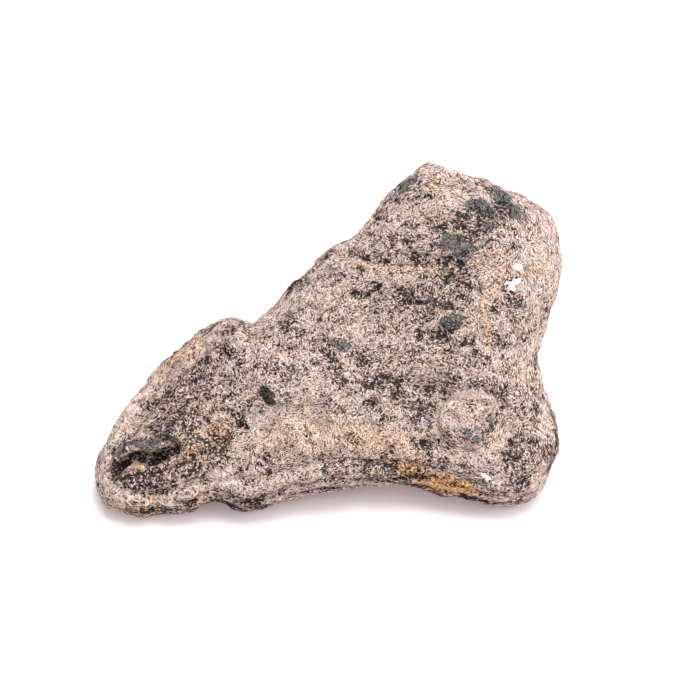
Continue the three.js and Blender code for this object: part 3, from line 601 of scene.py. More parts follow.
STEEL_MARKINGS = (
    # The crystals at the top, in the middle and round the knob, and the band on the toe
    Streak(((29.6, 31.6), (31.4, 29), (33.8, 26.6)), 1.5, 1),
    Streak(((-47, -20.4), (-45, -19), (-42, -18.8), (-39, -18.6), (-36.8, -17), (-35.8, -14.4)), 1.5, 0.85),
    *patches(
        (25.8, 28.4, 3.3, 1.4, 1, -12), (33.4, 28.4, 1.6, 1, 0.8, -30), (23.4, 26.4, 1.2, 0.6, 0.8, 10),
        (27.6, 25, 2, 0.9, 0.9, -12), (25.4, 23, 1.1, 0.5, 0.8, 10), (21.4, 20.8, 3.2, 1.8, 1, -28),
        (24, 19.4, 1.2, 0.9, 0.7), (20.2, 5.4, 2.4, 1.4, 1, 10), (-1.8, 1.2, 2.7, 1.2, 0.85, -12),
        (11, 33, 3.2, 1.1, 0.75, 45), (24.6, -17.4, 3.4, 1.3, 0.7, -25), (27.6, -14.6, 2.2, 1.2, 0.7, -60),
        (32, -27, 2.6, 1.8, 0.5), (34.2, 9.6, 1.1, 1.5, 0.7), (16, 9.4, 1.6, 1.3, 0.8),
        (-12, 7.6, 1.7, 0.8, 0.7, 10), (-13, -3.8, 2.8, 1.1, 0.6, -8), (-47.2, -26.4, 0.9, 1.2, 0.8),
        (-12.8, -9.2, 2.2, 1, 0.6, -35), (25.2, -1.8, 1, 2.6, 0.5, 25), (10.2, -9, 1.6, 1.2, 0.5),
        (-19.2, 3, 1.6, 0.8, 0.5), (7.8, -13.8, 1.4, 0.8, 0.4), (37.4, -23.4, 2, 1.2, 0.4),
    ),
)

WHITE_MARKINGS = (
    # The flecks on the right face, and fainter ones at the front
    *patches(
        (34, 16.7, 1.2, 0.8, 1, -50), (32.7, 13.4, 1.6, 0.9, 1, -10), (27.2, -25.4, 1.8, 1, 0.68, -30),
        (-19, -15.6, 1.8, 0.9, 0.6), (-24.6, -24.4, 1, 0.8, 0.5), (-23, -26.6, 2, 0.7, 0.5, 20),
    ),
)

BARE_MARKINGS = (
    # The toe's rim and slab, then the ledge and the knob
    Streak(((-24, 1.6), (-30, 0.6), (-35.5, -4.4), (-40.5, -9.4), (-45, -14.6), (-48.6, -21)), 1.3, 0.8),
    Streak(((-48.6, -21), (-48.8, -27), (-44, -29.6), (-36, -29.4), (-28, -28.4)), 1.2, 0.8),
    Streak(
        (
            (-47.4, -20.6), (-45, -18.8), (-42, -18.6), (-39, -18.4), (-36.6, -16.6), (-35.6, -13),
        ),
        1.6,
        1,
    ),
    *patches(
        (-42.4, -26.2, 3.8, 2.2, 0.9, 10), (-33.4, -24, 4.4, 2.8, 0.9, 10), (-30, -18, 4.6, 3, 0.8, 30),
        (-33, -8.6, 3.4, 2.6, 0.7, 30), (-25.6, -25, 3, 2, 0.6), (-28.6, -1.4, 2.2, 1.4, 0.7),
        (16, -26, 9, 1.8, 0.7, -17), (31.6, -27, 3, 2.4, 0.6), (24.4, -13.6, 4.2, 3.6, 0.4),
    ),
)

MARKINGS = {
    Marking.DARK: DARK_AND_SHADE_MARKINGS,
    Marking.PALE: PALE_AND_HIGHLIGHT_MARKINGS,
    Marking.TAN: TAN_MARKINGS,
    Marking.RUST: RUST_MARKINGS,
    Marking.STEEL: STEEL_MARKINGS,
    Marking.WHITE: WHITE_MARKINGS,
    Marking.BARE: BARE_MARKINGS,
}


@dataclass(frozen=True)
class Growth:
    """How one marking spreads over the sides that the photograph doesn't show.

    Attributes:
        length: The size of its parts.
        start: Where in the noise they are read.
        gain: How sharply they rise from the rest.
        level: How much of the marking there is in the middle of the noise.
        strength: How strong it is at most.
    """

    length: float
    start: float
    gain: float
    level: float
    strength: float


GROWTHS = {
    Marking.DARK: Growth(4.0, 130.0, 3.0, -0.4, 0.9),
    Marking.PALE: Growth(8.0, 190.0, 2.5, 0.3, 0.8),
    Marking.TAN: Growth(9.0, 150.0, 2.2, 0.1, 0.8),
    Marking.RUST: Growth(7.0, 170.0, 3.0, -1.0, 0.8),
    Marking.STEEL: Growth(4.5, 230.0, 4.0, -1.4, 0.9),
    Marking.BARE: Growth(9.0, 270.0, 2.5, -0.2, 0.8),
}

CRYSTALS = (
    Crystal((-16.6, -9.2), (2.3, 1.2), -58, 0.1, black=True),
    Crystal((21.6, 21.2), (2.8, 1.6), -25, 0.1),
    Crystal((32, 28.4), (2.1, 1.6), 10, 0.15),
    Crystal((26, 29), (2.2, 1.3), -15, 0.15),
    Crystal((28, 25), (1.7, 1.2), 30, 0.15),
    Crystal((24.8, 23.6), (1.4, 1), 0, 0.1),
    Crystal((20, 5.2), (1.5, 1.1), 40, 0.2),
    Crystal((-2, 1), (1.7, 1.1), 12, 0.15),
    Crystal((11.4, 31.6), (2.2, 1.6), 60, 0.15),
    Crystal((35, 10), (1.9, 1.3), 80, 0.15),
    Crystal((16, 9), (1.4, 1), -30, 0.1),
    Crystal((27, -15), (1.6, 1.2), 70, 0.15),
    Crystal((24.6, -18), (1.6, 1), 15, 0.15),
    Crystal((-12.6, 7.4), (1.5, 0.9), 30, 0.1),
    Crystal((-17.6, 3), (1.4, 1), -20, 0.1),
    Crystal((6, 21), (2.6, 1.7), 20, 0.3, True, True),
    Crystal((-20, -3), (2, 1.4), -40, 0.3, True, True),
    Crystal((26, 26), (2.3, 1.5), 70, 0.3, True, True),
    Crystal((-40, -13), (1.8, 1.2), 10, 0.3, True, True),
)

GROOVES = (
    Groove(((-29, 0.8), (-33, -3.6), (-37, -7), (-40, -11.4), (-43, -15.4), (-46.6, -20)), 0.7, 0.7),
    Groove(((-33, -7.5), (-36.5, -11), (-41, -16)), 3.4, 0.6),
    Groove(
        (
            (-24, 2.2), (-30, 1.4), (-35.5, -3.6), (-40, -8), (-44.6, -13.6), (-48, -20), (-48.8, -26),
        ),
        0.8,
        -0.6,
    ),
    Groove(((-24, 3.4), (-29, 3), (-34, -1), (-38.5, -5), (-43.5, -10.6), (-48, -17.4)), 0.6, 0.5),
    Groove(
        (
            (-47.8, -24.3), (-46, -23.2), (-44.4, -22), (-41.6, -21.6), (-39.4, -21.8), (-34.8, -19.9),
        ),
        0.75,
        1.4,
    ),
    Groove(
        (
            (-47, -27.4), (-40, -29), (-31, -26.6), (-18, -25.4), (-4, -22), (10, -22.4), (18, -24),
            (26, -27),
        ),
        0.5,
        0.4,
    ),
    Groove(
        (
            (31.5, -13.6), (30.5, -10.5), (27.9, -8.2), (24.3, -7.4), (20.7, -8.2), (18.1, -10.5),
            (17.1, -13.6), (18, -17),
        ),
        0.8,
        0.7,
    ),
    Groove(((18.2, -15), (18.8, -12), (21.4, -9.8), (25, -9.2), (28.4, -10.4)), 0.9, -0.7),
    Groove(((23.2, 3), (24.8, -0.4), (26.4, -4)), 0.35, -0.4),
)


class Wire:
    """A node's output with arithmetic, so that an expression on values adds the Math nodes it needs."""

    def __init__(self, graph: "Graph", socket: bpy.types.NodeSocket) -> None:
        """Keep the graph and the output that the value comes from."""
        self.graph = graph
        self.socket = socket

    def math(self, operation: str, *others: "Wire | float") -> "Wire":
        """Add a Math node that starts from this value.

        Args:
            operation: The node's operation.
            others: The values that follow this one.

        Returns:
            The node's result.
        """
        inputs = dict(enumerate((self, *others)))
        return self.graph.add("ShaderNodeMath", {"operation": operation}, inputs)

    def vector(self, operation: str, *others: "Wire | tuple | float", output: str = "Vector") -> "Wire":
        """Add a Vector Math node that starts from this vector.

        Args:
            operation: The node's operation.
            others: The vectors or the scale that follow this one.
            output: The output that holds the result.

        Returns:
            The node's result.
        """
        inputs = {0: self}
        inputs.update({3 if operation == "SCALE" else place: other for place, other in enumerate(others, 1)})
        return self.graph.add("ShaderNodeVectorMath", {"operation": operation}, inputs, output)

    def dot(self, other: "Wire | tuple") -> "Wire":
        """Find how far this vector goes along another."""
        return self.vector("DOT_PRODUCT", other, output="Value")

    def __add__(self, other: "Wire | float") -> "Wire":
        """Add two values."""
        return self.math("ADD", other)

    def __sub__(self, other: "Wire | float") -> "Wire":
        """Take a value from this one."""
        return self.math("SUBTRACT", other)

    def __rsub__(self, other: float) -> "Wire":
        """Take this value from a number."""
        return (self * -1) + other

    def __mul__(self, other: "Wire | float") -> "Wire":
        """Multiply two values."""
        return self.math("MULTIPLY", other)

    def __truediv__(self, other: "Wire | float") -> "Wire":
        """Divide this value by another."""
        return self.math("DIVIDE", other)

    def between(self, low: float, high: float) -> "Wire":
        """Rise smoothly from 0 at low to 1 at high."""
        return self.graph.add(
            "ShaderNodeMapRange",
            {"interpolation_type": "SMOOTHSTEP"},
            {"Value": self, "From Min": low, "From Max": high},
            "Result",
        )


class Graph:
    """A node tree that is being built, for a material or for Geometry Nodes."""

    def __init__(self, tree: bpy.types.NodeTree) -> None:
        """Start on a tree, which loses the nodes that it came with."""
        self.tree = tree
        tree.nodes.clear()

    def add(
        self,
        kind: str,
        settings: dict[str, object] | None = None,
        inputs: dict[str | int, object] | None = None,
        output: str | int = 0,
    ) -> Wire:
        """Add a node, set it up and feed it.

        Args:
            kind: The node's type.
            settings: Its own settings, which are made first. A ramp's stops are given as "stops".
            inputs: Its sockets' values or wires, by name, identifier or place.
            output: The output to hand back, by name, identifier or place.

        Returns:
            That output as a wire.
        """
        node = self.tree.nodes.new(kind)
        for name, value in (settings or {}).items():
            if name == "stops":
                self._set_stops(node.color_ramp, value)
            else:
                setattr(node, name, value)
        for name, value in (inputs or {}).items():
            socket = self._find(node.inputs, name)
            if isinstance(value, Wire):
                self.tree.links.new(value.socket, socket)
            else:
                socket.default_value = value
        return Wire(self, self._find(node.outputs, output) if len(node.outputs) else None)

    def _find(self, sockets: bpy.types.bpy_prop_collection, name: str | int) -> bpy.types.NodeSocket:
        """Find a socket by its place, or by its identifier before its name."""
        if isinstance(name, int):
            return sockets[name]
        named = [socket for socket in sockets if socket.identifier == name]
        return named[0] if named else sockets[name]

    def _set_stops(self, ramp: bpy.types.ColorRamp, stops: tuple[tuple[float, Colour], ...]) -> None:
        """Give a ramp its stops, each a place and a colour."""
        while len(ramp.elements) < len(stops):
            ramp.elements.new(0.5)
        for element, (place, colour) in zip(ramp.elements, stops):
            element.position = place
            element.color = (*colour, 1.0)

    def mix(self, share: Wire | float, start: object, end: object, blend: str = "MIX") -> Wire:
        """Blend two colours.

        Args:
            share: How much of the second colour there is.
            start: The first colour, as a wire or a colour.
            end: The second colour, as a wire or a colour.
            blend: How the second colour goes over the first.

        Returns:
            The blended colour.
        """
        start, end = [part if isinstance(part, Wire) else (*part, 1.0) for part in (start, end)]
        settings = {"data_type": "RGBA", "blend_type": blend}
        inputs = {"Factor_Float": share, "A_Color": start, "B_Color": end}
        return self.add("ShaderNodeMix", settings, inputs, "Result_Color")

    def noise(self, place: Wire, length: float, detail: float = 2.0) -> Wire:
        """Read soft noise whose lumps are about that long, in the place's own unit."""
        inputs = {"Vector": place, "Scale": 1 / length, "Detail": detail}
        return self.add("ShaderNodeTexNoise", {}, inputs, 0)

    def read(self, name: str) -> Wire:
        """Read a number that the mesh holds at each point."""
        return self.add("ShaderNodeAttribute", {"attribute_name": name}, {}, "Fac")

    def shade(self, inputs: dict[str, object]) -> None:
        """End a material with one surface shader, fed with those inputs."""
        shader = self.add("ShaderNodeBsdfPrincipled", {}, inputs, "BSDF")
        self.add("ShaderNodeOutputMaterial", {}, {"Surface": shader})


def new_material(name: str) -> tuple[bpy.types.Material, Graph]:
    """Make an empty material, and the graph that its nodes are built in."""
    material = bpy.data.materials.new(name)
    material.use_nodes = True
    return material, Graph(material.node_tree)


def off_face(normal: Wire) -> Wire:
    """Find how far a surface turns away from the rock's broad face, where 1 is square to it."""
    return normal.vector("CROSS_PRODUCT", tuple(FOLIATION)).vector("LENGTH", output="Value")


def flow_of(graph: Graph, here: Wire, normal: Wire) -> Wire:
    """Work out which way the mica leans: along the rock's layers on its sides, in swirls on its broad face.

    Args:
        graph: The graph to build in.
        here: The place, in millimetres.
        normal: The surface's outward direction.

    Returns:
        The direction, longer where the flakes follow it more.
    """
    inputs = {"Vector": here, "Scale": 1 / SWIRL_LENGTH, "Detail": 1.0}
    swirl = graph.add("ShaderNodeTexNoise", {}, inputs, "Color")
    swirled = swirl.vector("SUBTRACT", (0.5, 0.5, 0.5)).vector("SCALE", SWIRL_PULL)
    grain = normal.vector("CROSS_PRODUCT", tuple(FOLIATION)).vector("SCALE", LAYER_PULL)
    return swirled.vector("ADD", grain)


@dataclass(frozen=True)
class FlakeLook:
    """One layer of mica flakes as the skin's shader draws them.

    Attributes:
        spacing: How far apart the flakes are.
        length: A flake's half length.
        width: A flake's half width.
        share: The share of its cells that hold a flake where the rock is neither light nor dark.
        lean: How much that share grows with the rock's lightness.
        dullest: Its dullest flake's place in the tones.
        brightest: Its brightest flake's place in the tones.
        shift: How far this layer is moved from the others.
    """

    spacing: float
    length: float
    width: float
    share: float
    lean: float
    dullest: float
    brightest: float
    shift: float


@dataclass(frozen=True)
class Tints:
    """How the mica's colour varies, and how the stains turn it. The colour is multiplied by each tint.

    Attributes:
        tan: The tan stain's tint.
        rust: The orange stain's tint.
        steel: The steel grey crystals' tint.
        crystal: The nearly black crystals' tint.
        pink: The tint of the pinkest flakes.
        straw: The tint of the most yellow of the common flakes.
        ochre: The tint of a few flakes.
        ochre_share: The share of flakes that have it.
        white: The white flecks' own colour.
    """

    tan: Colour = (1.03, 0.94, 0.8)
    rust: Colour = (1.12, 0.8, 0.44)
    steel: Colour = (0.3, 0.345, 0.38)
    crystal: Colour = (0.1, 0.105, 0.11)
    pink: Colour = (1.02, 0.96, 1.02)
    straw: Colour = (1.0, 0.995, 0.9)
    ochre: Colour = (0.96, 0.8, 0.6)
    ochre_share: float = 0.05
    white: Colour = lit(246, 244, 242)

    def vary(self, graph: "Graph", colour: Wire, chance: Wire) -> Wire:
        """Give each flake a hue of its own, between pink and straw, or ochre for a few.

        Args:
            graph: The material's graph.
            colour: The flakes' colour.
            chance: A number for each flake, from 0 to 1.

        Returns:
            The varied colour.
        """
        colour = self.tint(graph, 1 - chance.between(0.1, 0.8), colour, self.pink)
        colour = self.tint(graph, chance.between(0.3, 0.9), colour, self.straw)
        return self.tint(graph, chance.math("LESS_THAN", self.ochre_share), colour, self.ochre)

    def lay_over(self, graph: "Graph", colour: Wire, speck: Wire) -> Wire:
        """Tint a colour by the stains that the mesh holds.

        Args:
            graph: The material's graph.
            colour: The mica's own colour.
            speck: Fine noise that breaks the stains' edges up.

        Returns:
            The tinted colour.
        """
        broken = speck * 1.4 + 0.3
        edge = (speck - 0.5) * 1.2
        tan = (graph.read(Marking.TAN.value) * broken).between(0.05, 1.1)
        rust = (graph.read(Marking.RUST.value) * broken).between(0.15, 1.1)
        steel = (graph.read(Marking.STEEL.value) + edge).between(0.5, 0.62)
        crystal = (graph.read(CRYSTAL) + edge * 0.6).between(0.45, 0.55)
        white = (graph.read(Marking.WHITE.value) + edge * 2.2).between(0.6, 0.7)
        for share, tint in ((tan, self.tan), (rust, self.rust), (steel, self.steel), (crystal, self.crystal)):
            colour = self.tint(graph, share, colour, tint)
        return graph.mix(white, colour, self.white)

    def tint(self, graph: "Graph", share: Wire, colour: Wire, tint: Colour) -> Wire:
        """Multiply a share of a colour by a tint."""
        return graph.mix(share, colour, graph.mix(1.0, colour, tint, "MULTIPLY"))


TINTS = Tints()


@dataclass(frozen=True)
class Coat:
    """Layers of flakes or grains that the skin's shader draws over one another.

    Attributes:
        looks: The layers, from the lowest.
        lightening: How much their tone follows the rock's lightness.
        foot: The height of the lowest flakes.
        rise: How much higher the highest ones are.
    """

    looks: tuple[FlakeLook, ...]
    lightening: float
    foot: float
    rise: float


@dataclass(frozen=True)
class Spot:
    """The spot that a shader colours.

    Attributes:
        here: The place, in millimetres.
        normal: The surface's outward direction.
        lean: The direction that the mica leans to.
    """

    here: Wire
    normal: Wire
    lean: Wire


@dataclass(frozen=True)
class SchistFinish:
    """The rock's finish: matted mica flakes in pinkish beige, grey and black, stained in places.

    Attributes:
        mica: The flakes, which are more where the rock is light.
        grains: The round grains of the bare parts.
        ground_dark: The ground between the flakes where the rock is dark.
        ground_light: The same ground where it is light.
        tones: The flakes' colours, from the dullest to the brightest.
        line_tint: The tint of the fine dark lines along the rock's layers.
        speck_light: How much the specks lighten and darken the rock.
        strata_light: How much its layers do so.
        stray: How far a flake may stray from the way that the mica leans.
        relief: How high the bumps between the flakes are.
    """

    mica: Coat = Coat(
        (
            FlakeLook(0.8, 0.36, 0.22, 0.85, 0.1, 0.1, 0.6, 0.0),
            FlakeLook(0.7, 0.34, 0.16, 0.8, 0.2, 0.1, 0.8, 31.7),
            FlakeLook(0.7, 0.38, 0.11, 0.62, 0.5, 0.35, 0.95, 57.3),
            FlakeLook(0.62, 0.34, 0.09, 0.62, 0.5, 0.45, 1.0, 83.9),
            FlakeLook(0.55, 0.32, 0.08, 0.55, 0.5, 0.5, 1.0, 121.1),
        ),
        lightening=0.16,
        foot=0.4,
        rise=0.6,
    )
    grains: Coat = Coat(
        (
            FlakeLook(0.62, 0.4, 0.34, 0.0, 0.75, 0.16, 0.68, 149.3),
            FlakeLook(0.42, 0.26, 0.2, 0.0, 0.6, 0.2, 0.9, 173.9),
        ),
        lightening=0.3,
        foot=0.6,
        rise=0.5,
    )
    ground_dark: Colour = lit(30, 22, 21)
    ground_light: Colour = lit(96, 77, 72)
    tones: tuple[tuple[float, Colour], ...] = (
        (0.0, lit(26, 18, 17)),
        (0.28, lit(58, 43, 40)),
        (0.45, lit(131, 108, 100)),
        (0.58, lit(200, 177, 168)),
        (1.0, lit(242, 226, 217)),
    )
    line_tint: Colour = (0.36, 0.32, 0.3)
    speck_light: float = 1.3
    strata_light: float = 2.6
    stray: float = 1.3
    relief: float = 0.09

    def build(self) -> bpy.types.Material:
        """Build the material.

        Returns:
            The finished material.
        """
        material, graph = new_material("mica_schist")
        here = graph.add("ShaderNodeTexCoord", {}, {}, "Object").vector("SCALE", 1 / MM)
        normal = graph.add("ShaderNodeNewGeometry", {}, {}, "Normal")
        spot = Spot(here, normal, flow_of(graph, here, normal))
        side = off_face(normal)
        speck = graph.noise(here, SPECK)
        strata = (self._along_layers(graph, here, (2.0, 0.7, 0.0), 0.22, 2.0) - 0.5) * side.between(0.2, 0.7)
        light = graph.read(LIGHT) + (speck - 0.5) * self.speck_light + strata * self.strata_light
        bare = graph.read(Marking.BARE.value).between(0.1, 0.9)
        colour = graph.mix((light * 0.5 + 0.5).between(0.2, 0.9), self.ground_dark, self.ground_light)
        height = speck * 0.3 + strata * 0.8
        for coat, drive in ((self.mica, light), (self.grains, bare)):
            for look in coat.looks:
                mask, chance, hue = self._flakes(graph, spot, drive, look)
                tone = chance * (look.brightest - look.dullest) + look.dullest + light * coat.lightening
                toned = graph.add("ShaderNodeValToRGB", {"stops": self.tones}, {"Fac": tone}, "Color")
                colour = graph.mix(mask, colour, TINTS.vary(graph, toned, hue))
                height = height.math("MAXIMUM", mask * (chance * coat.rise + coat.foot))
        fine = self._along_layers(graph, here, (3.2, 0.0, 1.1), 0.3, 3.0)
        lines = fine.between(0.52, 0.62) * side.between(0.25, 0.6)
        colour = TINTS.tint(graph, lines * 0.8, colour, self.line_tint)
        crystal = graph.read(CRYSTAL).between(0.4, 0.6)
        bumps = {"Strength": 0.8, "Distance": self.relief * MM, "Height": height * (1 - crystal * 0.8)}
        inputs = {
            "Base Color": TINTS.lay_over(graph, colour, speck),
            "Roughness": 0.66 - height * 0.12 - crystal * 0.25,
            "Normal": graph.add("ShaderNodeBump", {}, bumps, "Normal"),
            "Specular IOR Level": 0.15,
        }
        graph.shade(inputs)
        return material

    def _along_layers(
        self, graph: Graph, here: Wire, slope: tuple[float, float, float], scale: float, detail: float
    ) -> Wire:
        """Read noise that is drawn out along the rock's layers.

        Args:
            graph: The material's graph.
            here: The place, in millimetres.
            slope: How far a millimetre across the layers moves the place in the noise.
            scale: How far a millimetre in any direction moves it besides.
            detail: How much finer noise is added.

        Returns:
            The noise, from 0 to 1.
        """
        depth = here.dot(tuple(FOLIATION))
        squeezed = graph.add("ShaderNodeVectorMath", {"operation": "SCALE"}, {0: slope, 3: depth})
        return graph.noise(here.vector("SCALE", scale).vector("ADD", squeezed), 1.0, detail)

    def _flakes(self, graph: Graph, spot: Spot, drive: Wire, look: FlakeLook) -> tuple[Wire, Wire, Wire]:
        """Draw one layer of flakes, each at its own angle in the surface.

        Args:
            graph: The material's graph.
            spot: The spot to colour.
            drive: What adds flakes there: how light the rock is, or how bare for grains.
            look: The layer's sizes.

        Returns:
            The flakes' mask, and two numbers for each flake from 0 to 1.
        """
        place = spot.here.vector("ADD", (look.shift, look.shift * 0.7, look.shift * 1.3))
        inputs = {"Vector": place, "Scale": 1 / look.spacing}
        cell = graph.add("ShaderNodeTexVoronoi", {}, inputs, "Position")
        drawn = graph.add("ShaderNodeTexWhiteNoise", {}, {"Vector": cell}, "Color")
        chances = graph.add("ShaderNodeTexWhiteNoise", {}, {"Vector": drawn}, "Color")
        axes = ((1.0, 0.0, 0.0), (0.0, 1.0, 0.0), (0.0, 0.0, 1.0))
        chance, absent, hue = [chances.dot(axis) for axis in axes]
        present = (drive * look.lean + look.share).math("GREATER_THAN", absent)
        wild = drawn.vector("SUBTRACT", (0.5, 0.5, 0.5)).vector("SCALE", self.stray)
        direction = self._lay_flat(wild.vector("ADD", spot.lean), spot.normal).vector("NORMALIZE")
        lying = self._lay_flat(place.vector("SUBTRACT", cell), spot.normal)
        along = lying.dot(direction)
        across_squared = lying.dot(lying) - along * along
        reach = along * along * (1 / look.length**2) + across_squared * (1 / look.width**2)
        return (1 - reach.between(0.55, 1.15)) * present, chance, hue

    def _lay_flat(self, arrow: Wire, normal: Wire) -> Wire:
        """Take away the part of an arrow that stands out of the surface."""
        out = arrow.dot(normal)
        return arrow.vector("SUBTRACT", normal.vector("SCALE", out))


@dataclass(frozen=True)
class FlakeFinish:
    """The finish of one set of loose-edged mica flakes.

    Attributes:
        name: The material's name.
        low: The colour of its dullest flakes.
        high: The colour of its brightest flakes.
        roughness: How rough the flakes are.
    """

    name: str
    low: Colour
    high: Colour
    roughness: float

    def build(self) -> bpy.types.Material:
        """Build the material.

        Returns:
            The finished material.
        """
        material, graph = new_material(self.name)
        here = graph.add("ShaderNodeTexCoord", {}, {}, "Object").vector("SCALE", 1 / MM)
        speck = graph.noise(here, SPECK)
        tone = graph.read(TONE)
        clouds = (graph.noise(here, 2.5) - 0.5) * 0.5
        colour = graph.mix((tone + clouds).between(0.0, 1.0), self.low, self.high)
        colour = TINTS.vary(graph, colour, (tone * 37).math("FRACT"))
        colour = TINTS.lay_over(graph, colour, speck)
        inputs = {"Base Color": colour, "Roughness": self.roughness, "Specular IOR Level": 0.2}
        graph.shade(inputs)
        return material


def new_object(name: str, data: bpy.types.ID) -> bpy.types.Object:
    """Make an object from its data and put it into the scene."""
    made = bpy.data.objects.new(name, data)
    bpy.context.scene.collection.objects.link(made)
    return made


@dataclass
class StoneSkin:
    """The rock itself, from the solid's shape: carved finer, with its crystals' faces and its stains, and
    with painted shade and highlights in places.

    Attributes:
        mesh_size: The distance between neighbouring points of the skin.
        rounding: How many times the solid's facets are smoothed.
        lumps: The length and height of each size of lump.
        clouds: The length and strength of each size of lighter and darker cloud.
        wander: The length and reach of each size of wander in the stains' edges.
        layer_thickness: The thickness of the rock's layers where they show on its sides.
        layer_height: How far those layers stand out.
        layer_bend: How far they bend up and down.
        hollow: How far the darkest parts lie below the rest.
        pale_light: How much a pale marking lightens the rock.
        dark_light: How much a dark marking darkens it.
        layer_light: How much its layers lighten and darken it.
        base_light: How light it is where nothing else says so.
        seed: Where in the noise the carving is read.
    """

    mesh_size: float = 0.42
    rounding: int = 8
    lumps: tuple[tuple[float, float], ...] = ((5.0, 0.35), (2.4, 0.3), (1.2, 0.2))
    clouds: tuple[tuple[float, float], ...] = ((3.4, 0.35), (1.6, 0.7), (0.9, 0.55))
    wander: tuple[tuple[float, float], ...] = ((2.2, 0.9), (0.9, 0.5))
    layer_thickness: float = 0.9
    layer_height: float = 0.35
    layer_bend: float = 2.5
    hollow: float = 0.25
    pale_light: float = 0.75
    dark_light: float = 1.05
    layer_light: float = 0.6
    base_light: float = 0.2
    seed: float = 11.0

    def build(self, solid: bpy.types.Object) -> bpy.types.Object:
        """Build the skin.

        Args:
            solid: The stone's solid, which stays as it is.

        Returns:
            The finished skin.
        """
        skin = self._even_copy(solid)
        mesh = skin.data
        places = self._read(mesh.vertices, "co") / MM
        normals = self._read(mesh.vertices, "normal")
        spots = VIEW.seen(places)
        facing = normals @ VIEW.toward
        layers = self._layers(places, normals)
        dark = self._marked(Marking.DARK, self._wandered(spots, places)) * np.clip(facing * 4, 0, 1)
        relief = self._relief(places, spots, facing) + self.layer_height * layers - self.hollow * dark
        places = places + normals * relief[:, None]
        places, crystal = self._set_crystals(places, normals, spots, facing)
        places = places + sum(pull.shift(spots) for pull in PULLS)
        places[:, 2] = np.maximum(places[:, 2], 0.0)
        mesh.vertices.foreach_set("co", (places * MM).astype(np.float32).ravel())
        mesh.update()
        self._write(mesh, CRYSTAL, crystal)
        self._write_markings(mesh, places, spots, facing, layers, crystal)
        for polygon in mesh.polygons:
            polygon.use_smooth = True
        return skin

    def _even_copy(self, solid: bpy.types.Object) -> bpy.types.Object:
        """Copy the solid's mesh, round its facets and lay an even mesh over it.

        Args:
            solid: The stone's solid.

        Returns:
            A new object with the even mesh.
        """
        work = bmesh.new()
        work.from_mesh(solid.data)
        bmesh.ops.remove_doubles(work, verts=work.verts, dist=0.001 * MM)
        merged = bpy.data.meshes.new("merged")
        work.to_mesh(merged)
        work.free()
        rough = new_object("rough", merged)
        evening = rough.modifiers.new("evening", "REMESH")
        evening.mode = "VOXEL"
        evening.voxel_size = self.mesh_size * MM
        rounding = rough.modifiers.new("rounding", "SMOOTH")
        rounding.factor = 0.5
        rounding.iterations = self.rounding
        graph = bpy.context.evaluated_depsgraph_get()
        mesh = bpy.data.meshes.new_from_object(rough.evaluated_get(graph))
        mesh.name = "stone_skin"
        bpy.data.objects.remove(rough)
        return new_object("stone_skin", mesh)

    def _read(self, items: bpy.types.bpy_prop_collection, name: str) -> np.ndarray:
        """Read a vector from each vertex."""
        values = np.zeros(len(items) * 3, np.float32)
        items.foreach_get(name, values)
        return values.reshape(-1, 3).astype(float)

    def _write(self, mesh: bpy.types.Mesh, name: str, values: np.ndarray) -> None:
        """Keep a number for each vertex under a name."""
        attribute = mesh.attributes.new(name, "FLOAT", "POINT")
        attribute.data.foreach_set("value", values.astype(np.float32))

    def _noise(self, places: np.ndarray, length: float, shift: float = 0.0) -> np.ndarray:
        """Read soft noise, about -1 to 1, whose lumps are that long."""
        start = self.seed + shift
        scaled = places / length + start
        return np.array([noise.noise(place) for place in scaled.tolist()])

    def _layers(self, places: np.ndarray, normals: np.ndarray) -> np.ndarray:
        """Work out the rock's layers, from -1 to 1, which show on the sides alone."""
        side = np.linalg.norm(np.cross(normals, FOLIATION / np.linalg.norm(FOLIATION)), axis=1)
        bend = self.layer_bend * self._noise(places, 9.0, 40.0)
        depth = (places @ FOLIATION + bend) / self.layer_thickness
        layers = np.array([noise.noise((value, self.seed, 0.3)) for value in depth.tolist()])
        return layers * 1.6 * np.clip(side * 1.6 - 0.4, 0, 1)

    def _relief(self, places: np.ndarray, spots: np.ndarray, facing: np.ndarray) -> np.ndarray:
        """Work out how far each point moves out for the lumps and the carved grooves.

        Args:
            places: The skin's points.
            spots: Where they are seen.
            facing: How squarely they face the camera.

        Returns:
            A distance for each point.
        """
        lumps = enumerate(self.lumps)
        height = sum(size * self._noise(places, length, shift) for shift, (length, size) in lumps)
        shown = np.clip(facing * 3, 0, 1)
        for groove in GROOVES:
            height -= groove.cut(spots) * shown
        return height

    def _set_crystals(
        self, places: np.ndarray, normals: np.ndarray, spots: np.ndarray, facing: np.ndarray
    ) -> tuple[np.ndarray, np.ndarray]:
        """Flatten the rock to two faces over each crystal.

        Args:
            places: The skin's points.
            normals: Their outward directions.
            spots: Where they are seen.
            facing: How squarely they face the camera.

        Returns:
            The moved points, and each point's share of crystal.
        """
        cover = np.zeros(len(places))
        wander = 0.3 * self._noise(places, 0.9, 70.0) + 0.3 * self._noise(places, 2.0, 80.0)
        for crystal in CRYSTALS:
            allowed = facing < -0.1 if crystal.far else facing > 0.1
            gap = np.linalg.norm(spots - np.array(crystal.at), axis=1) + np.where(allowed, 0, 1e6)
            middle = int(np.argmin(gap))
            near = np.linalg.norm(places - places[middle], axis=1) < max(crystal.size) * 1.5
            outward = normals[near].mean(axis=0)
            outward /= np.linalg.norm(outward)
            level = np.array([1.0, 0.0, 0.0]) - outward * outward[0]
            level /= np.linalg.norm(level)
            raised = np.cross(outward, level)
            angle = math.radians(crystal.turn)
            offset = places[near] - places[middle]
            x, y = offset @ level, offset @ raised
            along = (x * math.cos(angle) + y * math.sin(angle)) / crystal.size[0]
            over = (y * math.cos(angle) - x * math.sin(angle)) / crystal.size[1]
